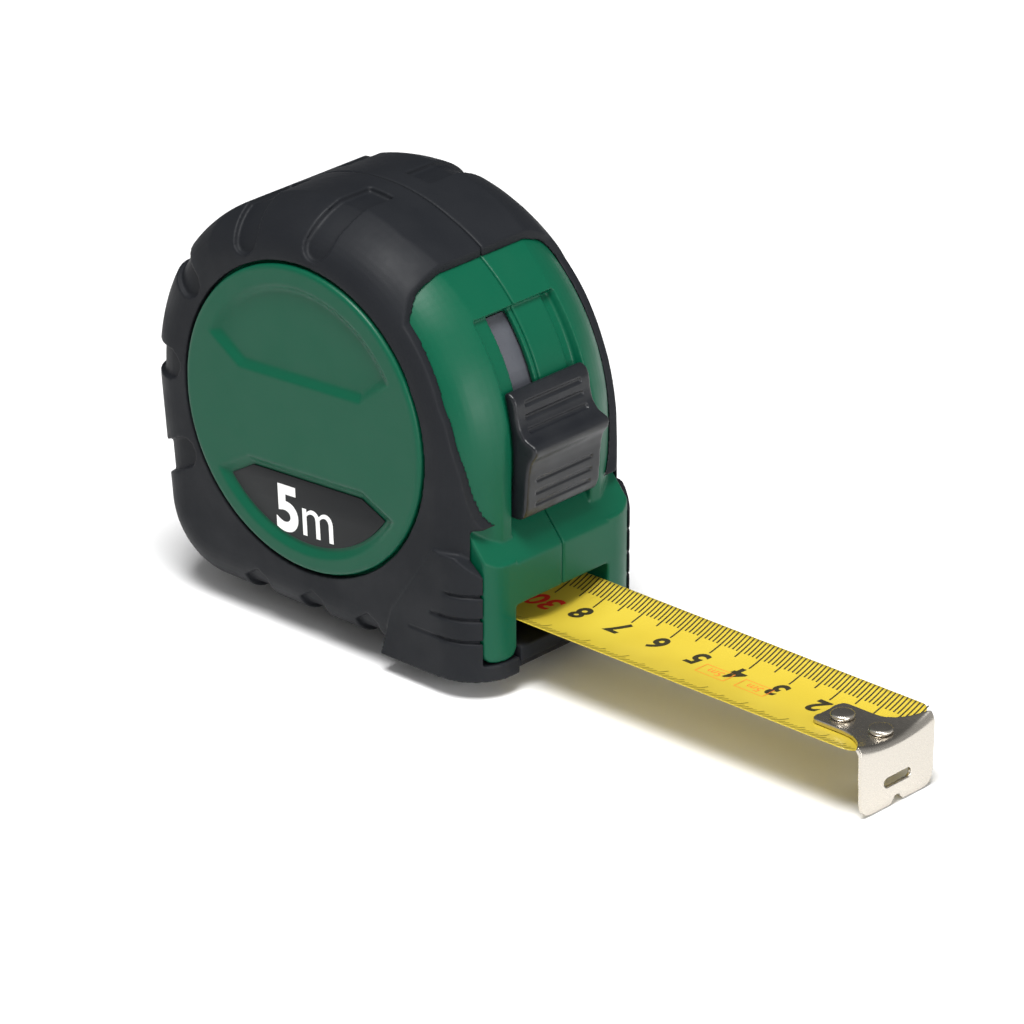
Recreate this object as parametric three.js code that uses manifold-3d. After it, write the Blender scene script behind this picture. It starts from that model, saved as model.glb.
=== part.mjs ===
// A pocket tape measure with a 25 mm blade, drawn out a little and locked.
// Millimetres. X runs the way the blade is drawn, Y across the case, Z up from the base.
// Every piece is drawn about the drum's axis, and the whole is then raised so that the base lies at z = 0.
import * as THREE from 'three';
import { mergeVertices } from 'three/addons/utils/BufferGeometryUtils.js';
import Module from 'manifold-3d';

const wasm = await Module();
wasm.setup();

// ---- Driving dimensions -------------------------------------------------------------------

// Case, as a side view about the drum's axis.
const axisHeight = 43.2; // drum axis above the base
const caseRadius = 43.2;
const rearArc = { x: -0.6, z: -0.3, radius: caseRadius }; // top and back of the grips
const frontArc = { x: 1.8, z: -0.8, radius: caseRadius - 0.4 }; // front of the case, also the lock's track
const heelArc = { x: -25.2, radius: 16 }; // lower back corner
const sideHalfWidth = 24.6; // grips' side faces
const shoulder = 8; // rounding from the sides to the rim
// The top and front are rounded more, along a wider arc that leaves the case's outline behind the crown.
const browArc = { x: -1, z: -3, radius: 46.7, end: THREE.MathUtils.degToRad(108) };
const browAcross = 18; // rounding measured across the case
const browDrop = 12; // and in the side view
const gripThickness = 1.5;
const fitGap = 0.3; // between pieces moulded or pressed together
const wall = 2.2; // shells
const seamGap = 0.05; // each half's share of the parting line

// Round panel on each side.
const discRadius = 31.6;
const discHalfWidth = sideHalfWidth + 0.5; // its face
const panelDepth = 1;
const panelTilt = THREE.MathUtils.degToRad(3);
const upperPanel = { cornerX: 16.2, cornerZ: 7.5, endX: 24.35, endZ: 13.3, radius: discRadius - 4 };
const lowerPanel = { cornerX: 15.5, cornerZ: -10.8, endX: 23.5, endZ: -15.1, radius: discRadius - 3.3 };
const labelMargin = 1.6; // from the lower panel's edge
const labelThickness = 0.3;

// Blade and its end hook.
const bladeWidth = 24.8; // across the dished strip
const bladeDish = 2.6;
const bladeThickness = 0.15;
const bladeHeight = -35; // middle of the strip
const slideClearance = 0.7; // beside the blade in the mouth
const hookInside = 129.3; // inner face, where a measure starts
const bladeEnd = hookInside - 1.3;
const hookThickness = 1;
const hookHalfWidth = 10.8;
const hookBottom = -46.9;
const hookPlay = 1; // the hook moves by its own thickness
const tongueLength = 17;
const tongueHalfWidth = 4.7;
const tongueNeck = hookInside - 8.3; // where the tongue starts to flare
const rivetPlaces = [hookInside - 12.7, hookInside - 3.4];
const rivetRadius = 1;
const rivetHeadRadius = 2.4;
const rivetHeadHeight = 0.9;

// Front of the case.
const mouthHalfWidth = bladeWidth / 2 + slideClearance;
const chinReach = frontArc.x + frontArc.radius + 1.2; // front face over the mouth
const chinHalfWidth = mouthHalfWidth + 2.4;
const chinTop = -13.2;
const chinShoulder = -19.4; // foot of the chin's slope
const lipHeight = -29; // lower edge of the chin
const legHalfWidth = mouthHalfWidth + 7.5;
const legTop = chinTop + 4; // inside the wings
const legEnd = 2.2; // rounding of the legs' lower ends
const legBack = 5; // how far the legs run back past the front wall's inner face
const legBottom = -39.6;
const footReach = chinReach + 0.6; // front of the feet and the bumper
// Front edge of the rubber beside the wings, in side view, from the brow down to the foot.
const gripEdge = [[36.5, 9], [39.4, -0.6], [40.3, -5.6], [41.3, -9.7], [43, -13.6], [44, -17.5]];
const footTop = -21.3;
const footHalfWidth = sideHalfWidth + 0.3;
const footCorner = 10; // plan rounding of the feet and legs
const soleHalfWidth = 12.5;
const soleBack = -18;
const soleEnd = footReach - 1.8; // the lip overhangs from here
const lipBottom = -41;
const lipTop = -37.8;
const bladeStart = footReach + fitGap; // where the drawn-out length leaves the case

// Drum, coil and spring.
const coilRadius = 28;
const coilBuild = 5; // depth of the blade's turns on the drum
const drumRadius = coilRadius - coilBuild;
const drumWall = 1.5;
const drumHalfWidth = bladeWidth / 2 + 0.2;
const drumDisc = 1.2; // web and cover
const postRadius = 4;
const guideRadius = coilRadius - 2; // rings that keep the coil in the middle
const guideThickness = 1.6;
const springTurns = 5;
const springThickness = 0.4;
const springHalfWidth = drumHalfWidth - 2.6;

// Lock.
const railDepth = 2.8; // rails below the grips' level at the front
const channelHalfWidth = 11.2;
const slotSides = [-7.2, -1.2]; // the button's stem runs here
const grooveSides = [8.2, 10.9]; // beside the wide rail
const grooveDepth = 0.6;
const channelTopHeight = 25.4;
const channelBottomHeight = -15.8;
const slotBottomHeight = -12.5;
const buttonHalfWidth = 10.6;
const buttonTopHeight = 12.7;
const buttonBottomHeight = -12.5;
// The button's face, as [proud of the case's front, height].
const thumbFace = [
  [-2.2, 12.6],
  [-1.5, 11.2],
  [-1.2, 8.6],
  [-0.6, 6.4], // foot of the thumb hollow
  [0.8, 4.7],
  [3.3, 3.9], // thumb ledge
  [3.8, 3],
  [3.5, 1.8],
  [2.3, 0.2],
  [1.7, -2.2],
  [1.4, -6],
  [1.1, -10],
  [0.3, -12],
  [-1, -12.6],
];
const slideThickness = 0.9;
const slideSides = [-9, 4.5];
const slideBottomHeight = -25.7;
const brakeHalfWidth = 4.5;
const brakeLength = 3.4;
const brakeClearance = 0.35;

// Screws, at [x, z], and the belt clip on the right-hand side.
const screwPlaces = [[-25, 25.5], [13, 33], [-33.5, -21.5], [27, -17.5]];
const screwRadius = 1.25;
const screwHeadRadius = 2.6;
const screwHeadHeight = 1.8;
const screwClearance = 0.15;
const bossRadius = 3.2;
const clipThickness = 1;
const clipHalfWidth = 9;
const clipGap = 5.6; // belt space
const clipTop = 5;
const clipFootLength = 12;
const clipDrop = 29;
const clipScrewHeight = -1;
const clipScrewLength = 4;

// ---- Sizes that follow --------------------------------------------------------------------

const shellInset = gripThickness + fitGap;
const cavityInset = shellInset + wall;
const shellHalfWidth = sideHalfWidth - shellInset;
const cavityHalfWidth = shellHalfWidth - wall;
const baseLevel = -axisHeight;
const screwHeadDepth = cavityHalfWidth - 3.1; // seat of the head, from the parting line
const screwReach = screwHeadDepth - 3.5; // past the parting line
const railRadius = frontArc.radius - railDepth;
const trackRadius = frontArc.radius - cavityInset; // inner face of the front wall
const slideRadius = trackRadius - 0.4;
const channelTop = trackAngle(channelTopHeight, railRadius);
const channelBottom = trackAngle(channelBottomHeight, railRadius);
const slotBottom = trackAngle(slotBottomHeight, railRadius);
const buttonTop = trackAngle(buttonTopHeight, railRadius + fitGap);
const buttonBottom = trackAngle(buttonBottomHeight, railRadius + fitGap);
const slideBottom = trackAngle(slideBottomHeight, slideRadius);
const frontWallBack = frontArc.x + trackRadius - 6; // behind the lower front wall
const homeGap = 1.4; // from the feet to the hook when the blade is in
const bladeTravel = hookInside - hookPlay - footReach - homeGap;
const brakeFront = footReach + homeGap - tongueLength - 0.2; // clear of the tongue when the blade is in
const brakeBack = brakeFront - brakeLength;
const tongueEnd = hookInside - tongueLength;
const far = 200; // reaches past every piece

// ---- Helpers ------------------------------------------------------------------------------

function solid(geometry) {
  const bare = geometry.clone();
  bare.deleteAttribute('normal');
  bare.deleteAttribute('uv');
  const welded = mergeVertices(bare, 1e-4);
  const vertProperties = Float32Array.from(welded.attributes.position.array);
  const triVerts = Uint32Array.from(welded.index.array);
  return new wasm.Manifold(new wasm.Mesh({ numProp: 3, vertProperties, triVerts }));
}

function geometryOf(manifold) {
  const mesh = manifold.getMesh();
  const geometry = new THREE.BufferGeometry();
  geometry.setAttribute('position', new THREE.BufferAttribute(mesh.vertProperties, 3));
  geometry.setIndex(new THREE.BufferAttribute(mesh.triVerts, 1));
  geometry.computeVertexNormals();
  return geometry;
}

const works = new THREE.Group();
works.position.z = axisHeight;

function addPiece(name, shape, colour, roughness, metalness = 0) {
  const geometry = shape.isBufferGeometry ? shape : geometryOf(shape);
  const material = new THREE.MeshStandardMaterial({ color: colour, roughness, metalness });
  const mesh = new THREE.Mesh(geometry, material);
  mesh.name = name;
  works.add(mesh);
}

// A side-view shape (x, z) drawn through from y0 to y1, with its long edges rounded;
// `drop` is how far the rounding comes in from the outline.
function across(shape, y0, y1, rounding = 0, drop = rounding) {
  const geometry = new THREE.ExtrudeGeometry(shape, {
    depth: y1 - y0 - 2 * rounding,
    bevelEnabled: rounding > 0,
    bevelThickness: rounding,
    bevelSize: drop,
    bevelOffset: -drop,
    bevelSegments: 3,
    curveSegments: 10,
  });
  geometry.translate(0, 0, rounding);
  geometry.rotateX(Math.PI / 2);
  geometry.translate(0, y1, 0);
  return geometry;
}

// A front-view shape (y, z) drawn through from x0 to x1.
function along(shape, x0, x1) {
  const depth = x1 - x0;
  const geometry = new THREE.ExtrudeGeometry(shape, { depth, bevelEnabled: false, curveSegments: 6 });
  geometry.rotateX(Math.PI / 2);
  geometry.rotateZ(Math.PI / 2);
  geometry.translate(x0, 0, 0);
  return geometry;
}

// A plan-view shape (x, y) drawn through from z0 to z1.
function upward(shape, z0, z1) {
  const depth = z1 - z0;
  const geometry = new THREE.ExtrudeGeometry(shape, { depth, bevelEnabled: false, curveSegments: 6 });
  geometry.translate(0, 0, z0);
  return geometry;
}

function box(x0, x1, y0, y1, z0, z1) {
  const geometry = new THREE.BoxGeometry(x1 - x0, y1 - y0, z1 - z0);
  geometry.translate((x0 + x1) / 2, (y0 + y1) / 2, (z0 + z1) / 2);
  return geometry;
}

// A rod across the case.
function rod(radius, y0, y1, x = 0, z = 0, sides = 20) {
  const geometry = new THREE.CylinderGeometry(radius, radius, y1 - y0, sides);
  geometry.translate(x, (y0 + y1) / 2, z);
  return geometry;
}

// A turned piece on an axis across the case, from [radius, y] points that close on themselves.
function turned(points, sides = 40) {
  return new THREE.LatheGeometry(points.map(([radius, y]) => new THREE.Vector2(radius, y)), sides);
}

function polygon(points) {
  return new THREE.Shape(points.map(([a, b]) => new THREE.Vector2(a, b)));
}

function onArc(arc, radius, angle) {
  return [arc.x + radius * Math.cos(angle), arc.z + radius * Math.sin(angle)];
}

// Angle on the lock's track that lies at a height.
function trackAngle(height, radius) {
  return Math.asin((height - frontArc.z) / radius);
}

function arcPoints(arc, radius, from, to, steps) {
  const points = [];
  for (let i = 0; i <= steps; i += 1) points.push(onArc(arc, radius, from + ((to - from) * i) / steps));
  return points;
}

// Part of a ring about the lock's centre, between two radii and two angles.
function trackSector(inner, outer, from, to, steps = 10) {
  const out = arcPoints(frontArc, outer, from, to, steps);
  const back = arcPoints(frontArc, inner, to, from, steps);
  return polygon([...out, ...back]);
}

// A strip of even thickness that follows a line of points.
function ribbon(points, thickness) {
  const sides = [[], []];
  points.forEach(([a, b], i) => {
    const before = points[Math.max(i - 1, 0)];
    const after = points[Math.min(i + 1, points.length - 1)];
    const along = [after[0] - before[0], after[1] - before[1]];
    const half = thickness / 2 / Math.hypot(...along);
    sides[0].push([a + along[1] * half, b - along[0] * half]);
    sides[1].push([a - along[1] * half, b + along[0] * half]);
  });
  return polygon([...sides[0], ...sides[1].reverse()]);
}

// ---- Case outline -------------------------------------------------------------------------

// Angle about `arc` where it meets the circle about `other`, on the upper side.
function meetingAngle(arc, other, inset) {
  const dx = other.x - arc.x;
  const dz = other.z - arc.z;
  const gap = Math.hypot(dx, dz);
  const r = arc.radius - inset;
  const s = other.radius - inset;
  const along = (gap * gap + r * r - s * s) / (2 * gap);
  const turn = Math.acos(along / r);
  const angles = [Math.atan2(dz, dx) + turn, Math.atan2(dz, dx) - turn];
  return angles.find((angle) => arc.z + r * Math.sin(angle) > 0);
}

// The case's side view, `inset` inside the grips' outer skin.
function caseOutline(inset) {
  const heelZ = baseLevel + heelArc.radius;
  const dx = heelArc.x - rearArc.x;
  const dz = heelZ - rearArc.z;
  const lean = Math.acos((rearArc.radius - heelArc.radius) / Math.hypot(dx, dz));
  const tangent = Math.atan2(dz, dx) + 2 * Math.PI - lean; // where the heel's arc takes over
  const front = frontArc.x + frontArc.radius - inset;
  const frontEnd = meetingAngle(frontArc, rearArc, inset);
  const rearStart = meetingAngle(rearArc, frontArc, inset);
  const heel = { x: heelArc.x, z: heelZ };
  return polygon([
    [front, baseLevel + inset],
    ...arcPoints(frontArc, frontArc.radius - inset, 0, frontEnd, 8),
    ...arcPoints(rearArc, rearArc.radius - inset, rearStart, tangent, 14).slice(1),
    ...arcPoints(heel, heelArc.radius - inset, tangent, 1.5 * Math.PI, 5),
  ]);
}

// A wider side view that touches the case's outline along its top and front only.
function browOutline(inset) {
  const reach = browArc.radius - inset;
  const [endX, endZ] = onArc(browArc, reach, browArc.end);
  return polygon([
    [browArc.x + reach, -far],
    ...arcPoints(browArc, reach, 0, browArc.end, 10),
    [endX - far * Math.sin(browArc.end), endZ + far * Math.cos(browArc.end)],
    [-2 * far, -far],
  ]);
}

function caseBody(inset) {
  const half = sideHalfWidth - inset;
  const brow = solid(across(browOutline(inset), -half, half, browAcross - inset, browDrop - inset));
  return solid(across(caseOutline(inset), -half, half, shoulder - inset)).intersect(brow);
}

// ---- Shells -------------------------------------------------------------------------------

function panelShape({ cornerX, cornerZ, endX, endZ, radius }) {
  const up = Math.sign(cornerZ);
  const from = Math.atan2(endZ, endX);
  const to = up > 0 ? Math.PI - from : -Math.PI - from;
  const arc = arcPoints({ x: 0, z: 0 }, radius, from, to, 10);
  const points = [[-cornerX, cornerZ], [cornerX, cornerZ], ...arc];
  const centre = new THREE.Vector2();
  const tilted = points.map(([x, z]) => new THREE.Vector2(x, z).rotateAround(centre, panelTilt));
  return new THREE.Shape(tilted);
}

const labelPanel = {
  cornerX: lowerPanel.cornerX - labelMargin / 3,
  cornerZ: lowerPanel.cornerZ - labelMargin,
  endX: lowerPanel.endX - 1.4 * labelMargin,
  endZ: lowerPanel.endZ - labelMargin / 2,
  radius: lowerPanel.radius - labelMargin,
};

// Plan view of a front with both outer corners rounded.
function roundedFront(reach, halfWidth, corner) {
  const plan = new THREE.Shape();
  plan.moveTo(-far, -halfWidth);
  plan.absarc(reach - corner, -halfWidth + corner, corner, -Math.PI / 2, 0, false);
  plan.absarc(reach - corner, halfWidth - corner, corner, 0, Math.PI / 2, false);
  plan.lineTo(-far, halfWidth);
  plan.closePath();
  return plan;
}

// The green front between the wings: sloped chin, its lip over the blade, and a leg on each side.
function frontBlock() {
  const wallFront = frontArc.x + frontArc.radius - cavityInset;
  const railFront = onArc(frontArc, railRadius, slotBottom)[0];
  const slope = polygon([
    [railFront - 0.6, chinTop],
    [railFront, chinTop],
    [chinReach - 0.5, chinShoulder],
    [chinReach, chinShoulder - 0.8],
    [chinReach, lipHeight],
    [wallFront, lipHeight],
    [wallFront, chinTop - 3.4],
  ]);
  let block = solid(across(slope, -chinHalfWidth, chinHalfWidth));
  const slopeLean = (chinReach - 0.5 - railFront) / (chinTop - chinShoulder);
  const legSlope = polygon([
    [chinReach - 0.5, chinShoulder],
    [far, chinShoulder],
    [far, 0],
    [chinReach - 0.5 + slopeLean * chinShoulder, 0],
  ]);
  const overLegs = solid(across(legSlope, -far, far));
  for (const side of [-1, 1]) {
    const [y0, y1] = [side * mouthHalfWidth, side * legHalfWidth].sort((a, b) => a - b);
    const leg = new THREE.Shape();
    leg.moveTo(y1, legTop);
    leg.lineTo(y0, legTop);
    leg.absarc(y0 + legEnd, legBottom + legEnd, legEnd, Math.PI, 1.5 * Math.PI, false);
    leg.absarc(y1 - legEnd, legBottom + legEnd, legEnd, -Math.PI / 2, 0, false);
    leg.closePath();
    const plan = solid(upward(roundedFront(chinReach, footHalfWidth, footCorner), -far, far));
    const post = solid(along(leg, wallFront - legBack, chinReach)).intersect(plan).subtract(overLegs);
    block = block.add(post);
  }
  return block;
}

function shellInside() {
  const guard = solid(across(trackSector(trackRadius, far / 2, channelBottom - 0.05, 0.1), -far, far));
  return caseBody(cavityInset).subtract(guard);
}

function lockChannel() {
  const open = trackSector(railRadius, far / 2, channelBottom, channelTop);
  const slot = trackSector(trackRadius - 2, far / 2, slotBottom, channelTop);
  const groove = trackSector(railRadius - grooveDepth, far / 2, slotBottom, channelTop);
  return solid(across(open, -channelHalfWidth, channelHalfWidth))
    .add(solid(across(slot, ...slotSides)))
    .add(solid(across(groove, ...grooveSides)));
}

function shellBody() {
  let body = caseBody(shellInset);
  body = body.add(solid(rod(discRadius, -discHalfWidth, discHalfWidth, 0, 0, 64)));
  body = body.subtract(shellInside());
  body = body.subtract(lockChannel());
  body = body.add(frontBlock());
  const mouthFloor = baseLevel + cavityInset;
  const mouth = box(frontWallBack, far, -mouthHalfWidth, mouthHalfWidth, mouthFloor, lipHeight);
  body = body.subtract(solid(mouth));
  // A thinned place at the back, where the tail of the drawn-in blade lies.
  const tailReach = bladeStart - bladeTravel - fitGap;
  const tailHalf = bladeWidth / 2 + fitGap;
  const tailTop = bladeHeight + bladeDish + 2 * fitGap;
  body = body.subtract(solid(box(tailReach, 0, -tailHalf, tailHalf, bladeHeight - fitGap, tailTop)));
  for (const side of [-1, 1]) {
    for (const panel of [upperPanel, lowerPanel]) {
      const y = [side * (discHalfWidth - panelDepth), side * far].sort((a, b) => a - b);
      body = body.subtract(solid(across(panelShape(panel), y[0], y[1])));
    }
  }
  return body;
}

// Bosses, drum guide and post socket inside one shell; side is -1 for the left and 1 for the right.
function shellFittings(side) {
  const inner = cavityHalfWidth - 0.5;
  const span = (from, to) => [side * from, side * to].sort((a, b) => a - b);
  const guide = solid(rod(guideRadius, ...span(drumHalfWidth + 0.6, inner + 1), 0, 0, 40)).subtract(
    solid(rod(guideRadius - guideThickness, ...span(0, inner + 2), 0, 0, 40)),
  );
  const socket = solid(rod(postRadius + 2.5, ...span(drumHalfWidth + 1.2, inner + 1), 0, 0, 24));
  let fittings = guide.add(socket).subtract(solid(rod(postRadius + 0.1, ...span(0, inner - 0.5), 0, 0, 24)));
  for (const [x, z] of screwPlaces) {
    fittings = fittings.add(solid(rod(bossRadius, ...span(seamGap, inner + 1), x, z)));
  }
  return fittings.intersect(caseBody(cavityInset - 0.5));
}

function screwHoles(side) {
  let holes = null;
  for (const [x, z] of screwPlaces) {
    let hole = solid(rod(screwRadius + screwClearance, -screwReach - 0.5, screwHeadDepth + 1, x, z, 16));
    if (side > 0) hole = hole.add(solid(rod(screwHeadRadius + 0.4, screwHeadDepth, far, x, z, 24)));
    holes = holes ? holes.add(hole) : hole;
  }
  return holes;
}

function halfSpace(side) {
  const [y0, y1] = side < 0 ? [-far, -seamGap] : [seamGap, far];
  return solid(box(-far, far, y0, y1, -far, far));
}

// ---- Grips --------------------------------------------------------------------------------

// Where the rubber ends at the front, in side view, from the crown down to the foot.
function gripRegion() {
  const crown = onArc(frontArc, frontArc.radius + 4, THREE.MathUtils.degToRad(60.5));
  const bandRadius = discRadius + 5;
  const brow = { x: 0.4, z: 0 };
  const [upperEnd, lowerEnd] = [47, 20].map(THREE.MathUtils.degToRad);
  const front = arcPoints(brow, bandRadius, upperEnd, lowerEnd, 6);
  return polygon([
    crown,
    [24.2, 31.2],
    ...front,
    ...gripEdge,
    [footReach - 1.6, footTop],
    [footReach, footTop - 5],
    [footReach, -far],
    [-far, -far],
    [-far, far],
    [0, far],
  ].reverse());
}

function footShape() {
  return polygon([
    [footReach, baseLevel],
    [footReach - 0.2, footTop - 4.5],
    [footReach - 1.6, footTop],
    [39.5, footTop + 4.2],
    [34.5, footTop + 4.6],
    [23.5, -33],
    [20.5, baseLevel],
  ].reverse());
}

function grip(side) {
  const span = (from, to) => [side * from, side * to].sort((a, b) => a - b);
  let body = caseBody(0).intersect(solid(across(gripRegion(), -far, far)));
  let foot = solid(across(footShape(), ...span(legHalfWidth + fitGap, footHalfWidth)));
  const toeSides = span(soleHalfWidth + fitGap, footHalfWidth);
  foot = foot.add(solid(box(frontWallBack, footReach, ...toeSides, baseLevel, legBottom - fitGap)));
  foot = foot.intersect(solid(upward(roundedFront(footReach, footHalfWidth, footCorner), -far, far)));
  body = body.add(foot);
  body = body.subtract(caseBody(gripThickness));
  body = body.subtract(solid(rod(discRadius + 0.6, -far, far, 0, 0, 64)));
  const windowHalf = legHalfWidth + fitGap;
  const windowTop = chinTop + 3 * fitGap;
  const frontWindow = box(frontWallBack, far, -windowHalf, windowHalf, legBottom - fitGap, windowTop);
  body = body.subtract(solid(frontWindow));
  const sole = box(soleBack - fitGap, far, -soleHalfWidth - fitGap, soleHalfWidth + fitGap, -far, lipTop);
  body = body.subtract(solid(sole));
  if (side > 0) {
    for (const [x, z] of screwPlaces) body = body.subtract(solid(rod(screwHeadRadius + 1, 0, far, x, z, 24)));
  }
  return body.intersect(halfSpace(side));
}

// The middle of the sole, with the lip that the hook comes home against and the mouth's floor behind it.
function mouthBumper() {
  const lipBack = frontArc.x + frontArc.radius - gripThickness;
  const floor = baseLevel + cavityInset + fitGap;
  const shape = polygon([
    [soleBack, baseLevel],
    [soleEnd, baseLevel],
    [soleEnd + 0.8, lipBottom],
    [footReach - 0.5, lipBottom],
    [footReach, lipBottom + 0.5],
    [footReach, lipTop - 0.6],
    [footReach - 0.6, lipTop],
    [frontWallBack + 1, lipTop],
    [frontWallBack + 1, floor],
    [lipBack, floor],
    [lipBack, baseLevel + gripThickness],
    [soleBack, baseLevel + gripThickness],
  ]);
  return across(shape, -soleHalfWidth, soleHalfWidth);
}

// ---- Blade and hook -----------------------------------------------------------------------

function dishAt(y) {
  return bladeDish * (y / (bladeWidth / 2)) ** 2;
}

// A dished section (y, z) whose underside lies `lift` above the blade's middle line.
function dishedSection(halfWidth, lift, thickness, steps = 8) {
  const under = [];
  const over = [];
  for (let i = 0; i <= steps; i += 1) {
    const y = -halfWidth + (2 * halfWidth * i) / steps;
    under.push([y, dishAt(y) + lift]);
    over.push([y, dishAt(y) + lift + thickness]);
  }
  return polygon([...under, ...over.reverse()]);
}

function bladeStrip() {
  const section = dishedSection(bladeWidth / 2, bladeHeight - bladeThickness / 2, bladeThickness);
  let strip = solid(along(section, bladeStart, bladeEnd));
  for (const x of rivetPlaces) {
    const hole = new THREE.CylinderGeometry(rivetRadius + 0.1, rivetRadius + 0.1, 4, 16);
    hole.rotateX(Math.PI / 2);
    hole.translate(x, 0, bladeHeight);
    strip = strip.subtract(solid(hole));
  }
  return strip;
}

// The length of blade on its way from the coil to the mouth.
function bladeLead() {
  const clearOfCoil = -coilRadius - bladeDish - fitGap - bladeThickness;
  const path = new THREE.CatmullRomCurve3([
    new THREE.Vector3(0, 0, clearOfCoil),
    new THREE.Vector3(brakeBack / 2 - 4, 0, clearOfCoil - 0.5),
    new THREE.Vector3(brakeBack - 6, 0, bladeHeight + 0.6),
    new THREE.Vector3(brakeBack, 0, bladeHeight),
    new THREE.Vector3(brakeFront + 4, 0, bladeHeight),
    new THREE.Vector3(bladeStart - fitGap, 0, bladeHeight),
  ]);
  const section = dishedSection(bladeWidth / 2, -bladeThickness / 2, bladeThickness);
  // Along this path the section's second axis points down, so it is turned over.
  const turnedOver = new THREE.Shape(section.getPoints().map((p) => new THREE.Vector2(p.x, -p.y)));
  return new THREE.ExtrudeGeometry(turnedOver, { steps: 14, bevelEnabled: false, extrudePath: path });
}

function endHook() {
  const lift = bladeHeight + bladeThickness / 2 + 0.1;
  const section = dishedSection(hookHalfWidth, lift, hookThickness);
  const slab = solid(along(section, tongueEnd, hookInside + hookThickness));
  const plan = new THREE.Shape();
  const tip = 1.6;
  plan.moveTo(hookInside + hookThickness, -hookHalfWidth);
  plan.lineTo(hookInside + hookThickness, hookHalfWidth);
  plan.lineTo(hookInside - 1, hookHalfWidth);
  plan.quadraticCurveTo(hookInside - 3, tongueHalfWidth, tongueNeck, tongueHalfWidth);
  plan.lineTo(tongueEnd + tip, tongueHalfWidth);
  plan.quadraticCurveTo(tongueEnd, tongueHalfWidth, tongueEnd, tongueHalfWidth - tip);
  plan.lineTo(tongueEnd, -tongueHalfWidth + tip);
  plan.quadraticCurveTo(tongueEnd, -tongueHalfWidth, tongueEnd + tip, -tongueHalfWidth);
  plan.lineTo(tongueNeck, -tongueHalfWidth);
  plan.quadraticCurveTo(hookInside - 3, -tongueHalfWidth, hookInside - 1, -hookHalfWidth);
  let hook = slab.intersect(solid(upward(plan, -far, far)));
  hook = hook.add(solid(along(hookFace(lift), hookInside, hookInside + hookThickness)));
  for (const x of rivetPlaces) {
    const half = rivetRadius + 0.15;
    const slot = solid(box(x, x + hookPlay, -half, half, -far, far));
    const ends = [x, x + hookPlay].map((place) => {
      const end = new THREE.CylinderGeometry(half, half, far, 16);
      end.rotateX(Math.PI / 2);
      return solid(end.translate(place, 0, 0));
    });
    hook = hook.subtract(slot.add(ends[0]).add(ends[1]));
  }
  return hook;
}

// Front view of the hook's face: round lower corners, a pull slot and a small notch.
function hookFace(lift) {
  const corner = 2.4;
  const notch = 1.6;
  const face = new THREE.Shape();
  face.moveTo(-hookHalfWidth, dishAt(hookHalfWidth) + lift);
  face.lineTo(-hookHalfWidth + 0.4, hookBottom + corner);
  face.quadraticCurveTo(-hookHalfWidth + 0.4, hookBottom, -hookHalfWidth + corner, hookBottom);
  face.lineTo(-notch, hookBottom);
  face.lineTo(0, hookBottom + notch);
  face.lineTo(notch, hookBottom);
  face.lineTo(hookHalfWidth - corner, hookBottom);
  face.quadraticCurveTo(hookHalfWidth - 0.4, hookBottom, hookHalfWidth - 0.4, hookBottom + corner);
  face.lineTo(hookHalfWidth, dishAt(hookHalfWidth) + lift);
  face.lineTo(hookHalfWidth / 2, dishAt(hookHalfWidth / 2) + lift);
  face.lineTo(0, lift);
  face.lineTo(-hookHalfWidth / 2, dishAt(hookHalfWidth / 2) + lift);
  const slot = new THREE.Path();
  const slotHeight = hookBottom + 5;
  slot.absarc(-3, slotHeight, 0.9, Math.PI / 2, 1.5 * Math.PI, false);
  slot.absarc(3, slotHeight, 0.9, -Math.PI / 2, Math.PI / 2, false);
  face.holes.push(slot);
  return face;
}

function rivet(x) {
  const seat = bladeHeight + bladeThickness / 2 + 0.1 + hookThickness + dishAt(rivetHeadRadius) + 0.05;
  const under = bladeHeight - bladeThickness / 2 - 0.05;
  const top = seat + rivetHeadHeight;
  const tailRadius = rivetHeadRadius * 0.8;
  const profile = [
    [0, under - 0.5],
    [tailRadius, under - 0.5],
    [tailRadius, under],
    [rivetRadius, under],
    [rivetRadius, seat],
    [rivetHeadRadius, seat],
    [rivetHeadRadius, top - 0.3],
    [rivetHeadRadius - 0.4, top],
    [0, top],
  ];
  const geometry = turned(profile, 20);
  geometry.rotateX(Math.PI / 2);
  geometry.translate(x, 0, 0);
  return geometry;
}

// ---- Drum ---------------------------------------------------------------------------------

function spoolDrum() {
  const bore = postRadius + 0.3;
  const inside = drumRadius - drumWall;
  return turned([
    [bore, drumHalfWidth - drumDisc],
    [inside, drumHalfWidth - drumDisc],
    [inside, -drumHalfWidth],
    [drumRadius, -drumHalfWidth],
    [drumRadius, drumHalfWidth],
    [bore, drumHalfWidth],
    [bore, drumHalfWidth - drumDisc],
  ]);
}

function springCover() {
  const bore = postRadius + 0.3;
  const rim = drumRadius - drumWall - 0.1;
  const outer = -drumHalfWidth;
  const inner = outer + drumDisc;
  return turned([[bore, outer], [rim, outer], [rim, inner], [bore, inner], [bore, outer]]);
}

function bladeCoil() {
  const inner = drumRadius + fitGap;
  const half = bladeWidth / 2;
  return turned([[inner, -half], [coilRadius, -half], [coilRadius, half], [inner, half], [inner, -half]], 48);
}

function powerSpring() {
  const inner = postRadius + 0.8;
  const outer = drumRadius - drumWall - 0.5;
  const perTurn = 18;
  const points = [];
  for (let i = 0; i <= springTurns * perTurn; i += 1) {
    const radius = inner + ((outer - inner) * i) / (springTurns * perTurn);
    points.push(onArc({ x: 0, z: 0 }, radius, (2 * Math.PI * i) / perTurn));
  }
  return across(ribbon(points, springThickness), -springHalfWidth, springHalfWidth);
}

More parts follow.
